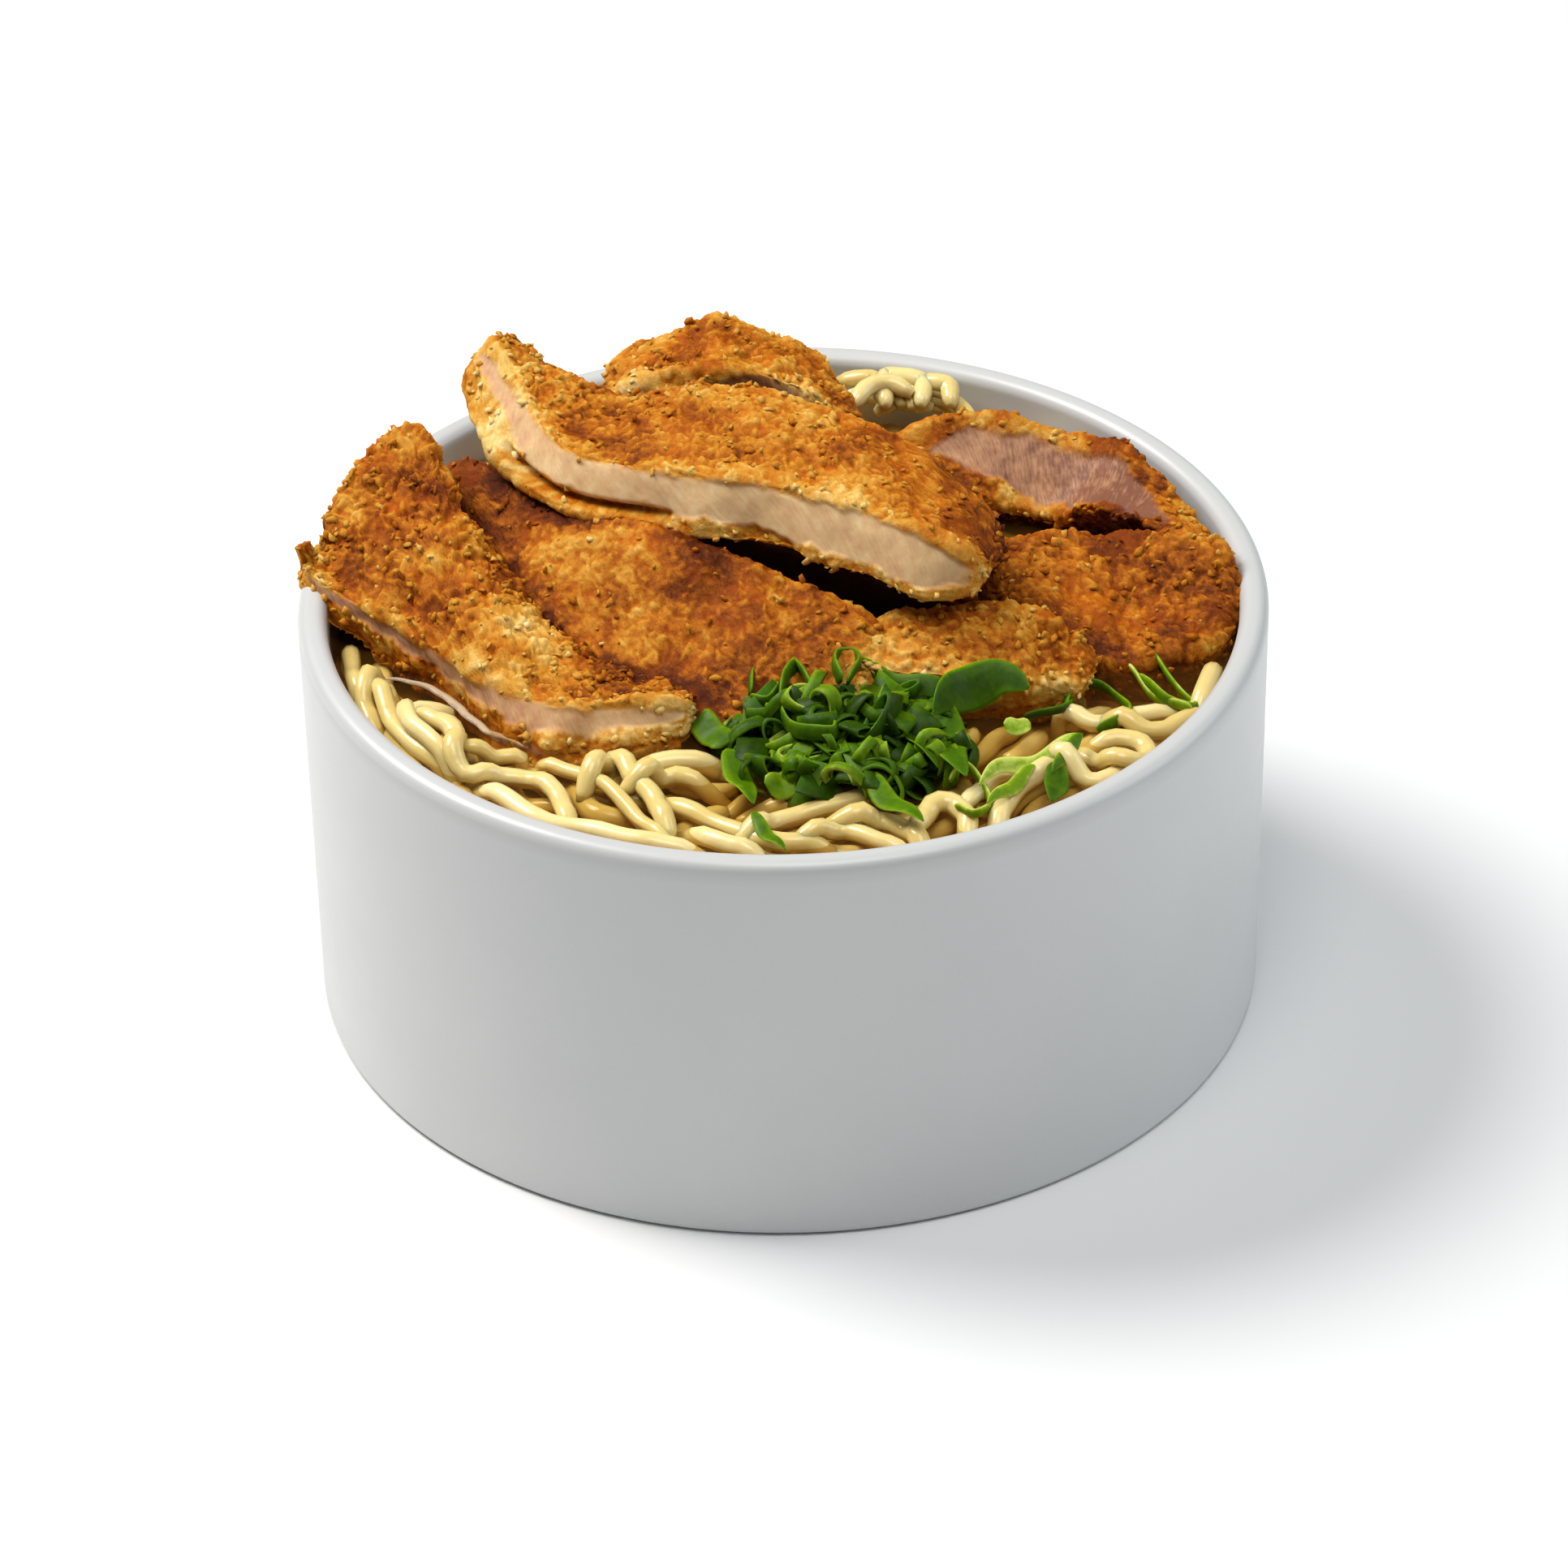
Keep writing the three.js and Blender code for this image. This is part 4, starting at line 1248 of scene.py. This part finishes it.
# Loose pieces by width, roll in degrees, height above the broth, lightness and pixels along each.
# A roll of 90 stands a strip on its edge. A leaf has pointed ends, and a loop has a thicker wall.
LEAVES_IN_PHOTO = {
    "block_left": (5.2, -40, 2.6, 0.5, [(858, 886), (896, 918)]),
    "leaf_oval": (5.2, 0, 3.0, 0.55, [(896, 922), (910, 955), (928, 990)]),
    "leaf_sliver": (2.6, -20, 3.4, 0.55, [(926, 1000), (944, 1026), (968, 1048)]),
    "leaf_front": (4.4, -20, 4.4, 0.55, [(1066, 950), (1092, 982), (1138, 1012)]),
    "block_middle": (5.0, -10, 5.0, 0.6, [(976, 944), (990, 914)]),
    "block_next": (4.6, -60, 5.5, 0.6, [(1012, 930), (1050, 936)]),
    "round_low": (5.0, -50, 2.2, 0.65, [(946, 972), (984, 962)]),
    "leaf_long": (8.0, -70, 7.0, 0.36, [(1150, 880), (1180, 850), (1222, 838), (1268, 848)]),
    "leaf_hanging": (6.5, -15, 4.5, 0.45, [(1146, 856), (1166, 896), (1172, 930), (1190, 956)]),
    "leaf_folded": (6.5, 15, 5.0, 0.4, [(1118, 862), (1126, 900), (1156, 946)]),
    "leaf_pale": (3.4, -45, 3.4, 0.85, [(1206, 968), (1238, 944), (1284, 934), (1334, 904)]),
    "leaf_green": (2.8, -60, 3.8, 0.55, [(1296, 952), (1314, 928), (1334, 904)]),
    "leaf_second": (2.8, -45, 3.2, 0.72, [(1216, 990), (1250, 966), (1276, 942)]),
    "leaf_blue": (4.4, 0, 2.8, 0.4, [(1300, 938), (1302, 962), (1296, 988)]),
    "bit_yellow": (3.4, -40, 2.4, 0.8, [(1238, 896), (1270, 894)]),
    "strip_back": (4.0, -70, 6.0, 0.4, [(1040, 822), (1080, 832), (1120, 846), (1160, 850)]),
    "loop_tall": (3, 75, 8, 0.45, [(982, 818), (966, 845), (964, 872), (988, 902), (1026, 910), (1031, 892)]),
    "loop_tall_back": (2.8, 75, 8.0, 0.45, [(980, 818), (1000, 846), (1018, 872), (1031, 892)]),
    "loop_top": (3, 75, 9, 0.45, [
        (1036, 840), (1028, 822), (1034, 804), (1052, 802), (1058, 820), (1044, 842),
    ]),
    "loop_left": (3, 75, 6, 0.45, [(924, 856), (930, 832), (950, 826), (958, 846), (944, 870), (926, 862)]),
    "loop_far": (2.4, 65, 1.2, 0.6, [
        (1384, 812), (1410, 808), (1440, 834), (1474, 868), (1440, 868), (1404, 836),
    ]),
    "loop_far_inner": (2.0, 65, 1.2, 0.75, [(1386, 818), (1412, 846), (1440, 868), (1468, 874)]),
    "loop_right": (2.6, 65, 1.0, 0.5, [
        (1312, 872), (1322, 850), (1356, 843), (1386, 862), (1390, 888), (1352, 900),
    ]),
    "loop_dark": (2.0, 80, 1.6, 0.3, [
        (1252, 866), (1272, 846), (1306, 846), (1320, 862), (1302, 880), (1262, 884),
    ]),
    "loop_low": (2.2, 80, 1.6, 0.75, [
        (1170, 962), (1186, 948), (1212, 966), (1220, 992), (1200, 1008), (1178, 994),
    ]),
}


def add_leaf(shape, name, width, roll, height, light, pixels):
    """Adds a strip of leaf along the pixels, a little lighter at its edges."""
    path = evenly(photo_path(pixels, BROTH_LEVEL + height), LEAF_STEP)
    share = np.linspace(0, 1, len(path))
    pointed = name.startswith("leaf")
    breadth = width * (np.sin(np.pi * np.clip(share, 0.02, 0.98)) ** 0.6 if pointed else 1.0)
    path[:, 2] += LEAF_WAVE * LEAF_STEP * len(path) * np.sin(3 * np.pi * share)
    wall = LOOP_WALL if name.startswith("loop") else LEAF_WALL
    rings = tube(path, breadth, LEAF_SIDES, wall / width, 0.5, math.radians(roll))
    edge = 0.25 * np.abs(np.cos(2 * np.pi * np.arange(LEAF_SIDES) / LEAF_SIDES)) ** 3
    shape.add(*closed_grid(rings), tone=light + np.append(np.tile(edge, len(path)), [0, 0]))


def ring_of_leaf(radius, length, squash, random):
    """A thin slice of a hollow leaf, as rows of its section round the ring, and their lightness."""
    turn = 2 * np.pi * np.arange(RING_POINTS) / RING_POINTS
    wobble = 1 + 0.08 * np.sin(2 * turn + random.uniform(0, 6))
    wobble = wobble + 0.05 * np.sin(3 * turn + random.uniform(0, 6))
    x, z = radius * wobble * np.cos(turn), radius * squash * wobble * np.sin(turn)
    inner = 1 - LEAF_WALL / radius
    slant = random.uniform(-0.5, 0.5)
    section_rows = [(1, 0), (1.03, 0.5), (1, 1), (inner, 1), (inner * 0.98, 0.5), (inner, 0)]
    rows = [(x * out, (0.5 - up) * length + slant * x, z * out) for out, up in section_rows]
    rings = np.stack([np.stack(row, -1) for row in rows], 1)
    return rings, np.tile([0.1, 0.0, 0.2, 0.3, 0.25, 0.3], len(turn))


def add_ring(shape, rings, turn, place, tone):
    """Adds rings of points that close on themselves like a hoop."""
    around_ring, around_section, _ = rings.shape
    points = rings.reshape(-1, 3) @ turn.T + place
    faces = grid_faces(around_ring + 1, around_section)
    shape.add(points, [[k % len(points) for k in face] for face in faces], tone=tone)


def scallions(heights):
    """The heap of spring onion on what the map shows, and the pieces that the photograph shows."""
    random = np.random.default_rng(HEAP_SEED)
    shape = Shape("tone")
    for count, radii, lengths, flatness, tilt, shades in HEAP_PIECES.values():
        for _ in range(count):
            spread = math.sqrt(random.uniform(0, 1))
            angle = random.uniform(0, 2 * np.pi)
            x = HEAP_MIDDLE[0] + HEAP_HALF[0] * spread * math.cos(angle)
            y = HEAP_MIDDLE[1] + HEAP_HALF[1] * spread * math.sin(angle)
            level = max(near(heights, np.array([[x, y]]), 2).max(), BROTH_LEVEL)
            share = random.uniform(0, 1)
            place = np.array([x, y, level + HEAP_CLEARANCE + HEAP_RISE * (1 - spread**2) * share])
            sizes = (random.uniform(*span) for span in (radii, lengths, flatness))
            rings, tone = ring_of_leaf(*sizes, random)
            turn = lying_turn(np.array([0, 0, 1]), tilt, random)
            # Pieces higher in the heap are painted lighter: painted light on the heap's top.
            shade = random.uniform(*shades) + HEAP_TOP_LIGHT * share
            add_ring(shape, rings, turn, place, shade + tone)
    for name, plan in LEAVES_IN_PHOTO.items():
        add_leaf(shape, name, *plan)
    shape.make("scallion_rings", scallion_look(), "scallion", "scallions")


# The stage

# Lamps by place in metres, power, size and colour, all turned to the middle of the food.
LAMPS = {
    "key": ((-0.75, 0.35, 1.15), 21.5, 0.7, (1.0, 0.98, 0.95)),
    "top": ((0.1, -0.4, 1.4), 9, 0.8, (1, 1, 1)),
    "cool": ((1.1, 0.1, 0.7), 5, 0.8, (0.88, 0.95, 1.0)),
}
LAMP_AIM = (0, 0, 0.05)
SKY_COLOUR = (0.92, 0.96, 1.0, 1.0)
SKY_STRENGTH = 0.15
FLOOR_HALF = 4.0


def add_lamp(name, place, power, size, tint):
    light = bpy.data.lights.new(name, "AREA")
    light.shape = "DISK"
    light.energy, light.size, light.color = power, size, tint
    lamp = new_object(name, light)
    lamp.location = place
    lamp.rotation_euler = (Vector(LAMP_AIM) - Vector(place)).to_track_quat("-Z", "Y").to_euler()


def camera():
    lens = bpy.data.cameras.new("photo_camera")
    lens.sensor_width = SENSOR_WIDTH
    lens.lens = SENSOR_WIDTH * FOCAL_PIXELS / PHOTO_SIZE
    lens.clip_start, lens.clip_end = 0.05, 20
    holder = new_object("photo_camera", lens)
    turn = Matrix((CAMERA_RIGHT, CAMERA_UP, -CAMERA_AHEAD)).transposed()
    holder.matrix_world = Matrix.Translation(CAMERA_PLACE * MM) @ turn.to_4x4()
    bpy.context.scene.camera = holder


def stage():
    mesh = bpy.data.meshes.new("floor")
    corners = [(x * FLOOR_HALF, y * FLOOR_HALF, 0) for x, y in ((-1, -1), (1, -1), (1, 1), (-1, 1))]
    mesh.from_pydata(corners, [], [range(4)])
    mesh.materials.append(floor_look())
    floor = new_object("floor", mesh)
    world = bpy.data.worlds.new("studio")
    world.use_nodes = True
    sky = world.node_tree.nodes["Background"].inputs
    sky["Color"].default_value = SKY_COLOUR
    sky["Strength"].default_value = SKY_STRENGTH
    bpy.context.scene.world = world
    for name, plan in LAMPS.items():
        add_lamp(name, *plan)
    bpy.context.scene.view_settings.view_transform = "Standard"


camera()
stage()
bowl()
cutlet = katsu_look()
slice_points = []
slice_surfaces = {name: slice_surface(SLICE_DEFAULTS | plan) for name, plan in SLICES.items()}
for order, slice_name in enumerate(SLICES):
    made, surface = katsu(slice_name, order, slice_surfaces)
    made.make(slice_name.replace("katsu", "cutlet"), cutlet, "crust", slice_name)
    slice_points.append(surface)
all_slices = np.concatenate(slice_points)
noodle_bed()
noodle_tops = noodles(lowest_map(all_slices))
broth(all_slices)
scallions(noodle_tops)
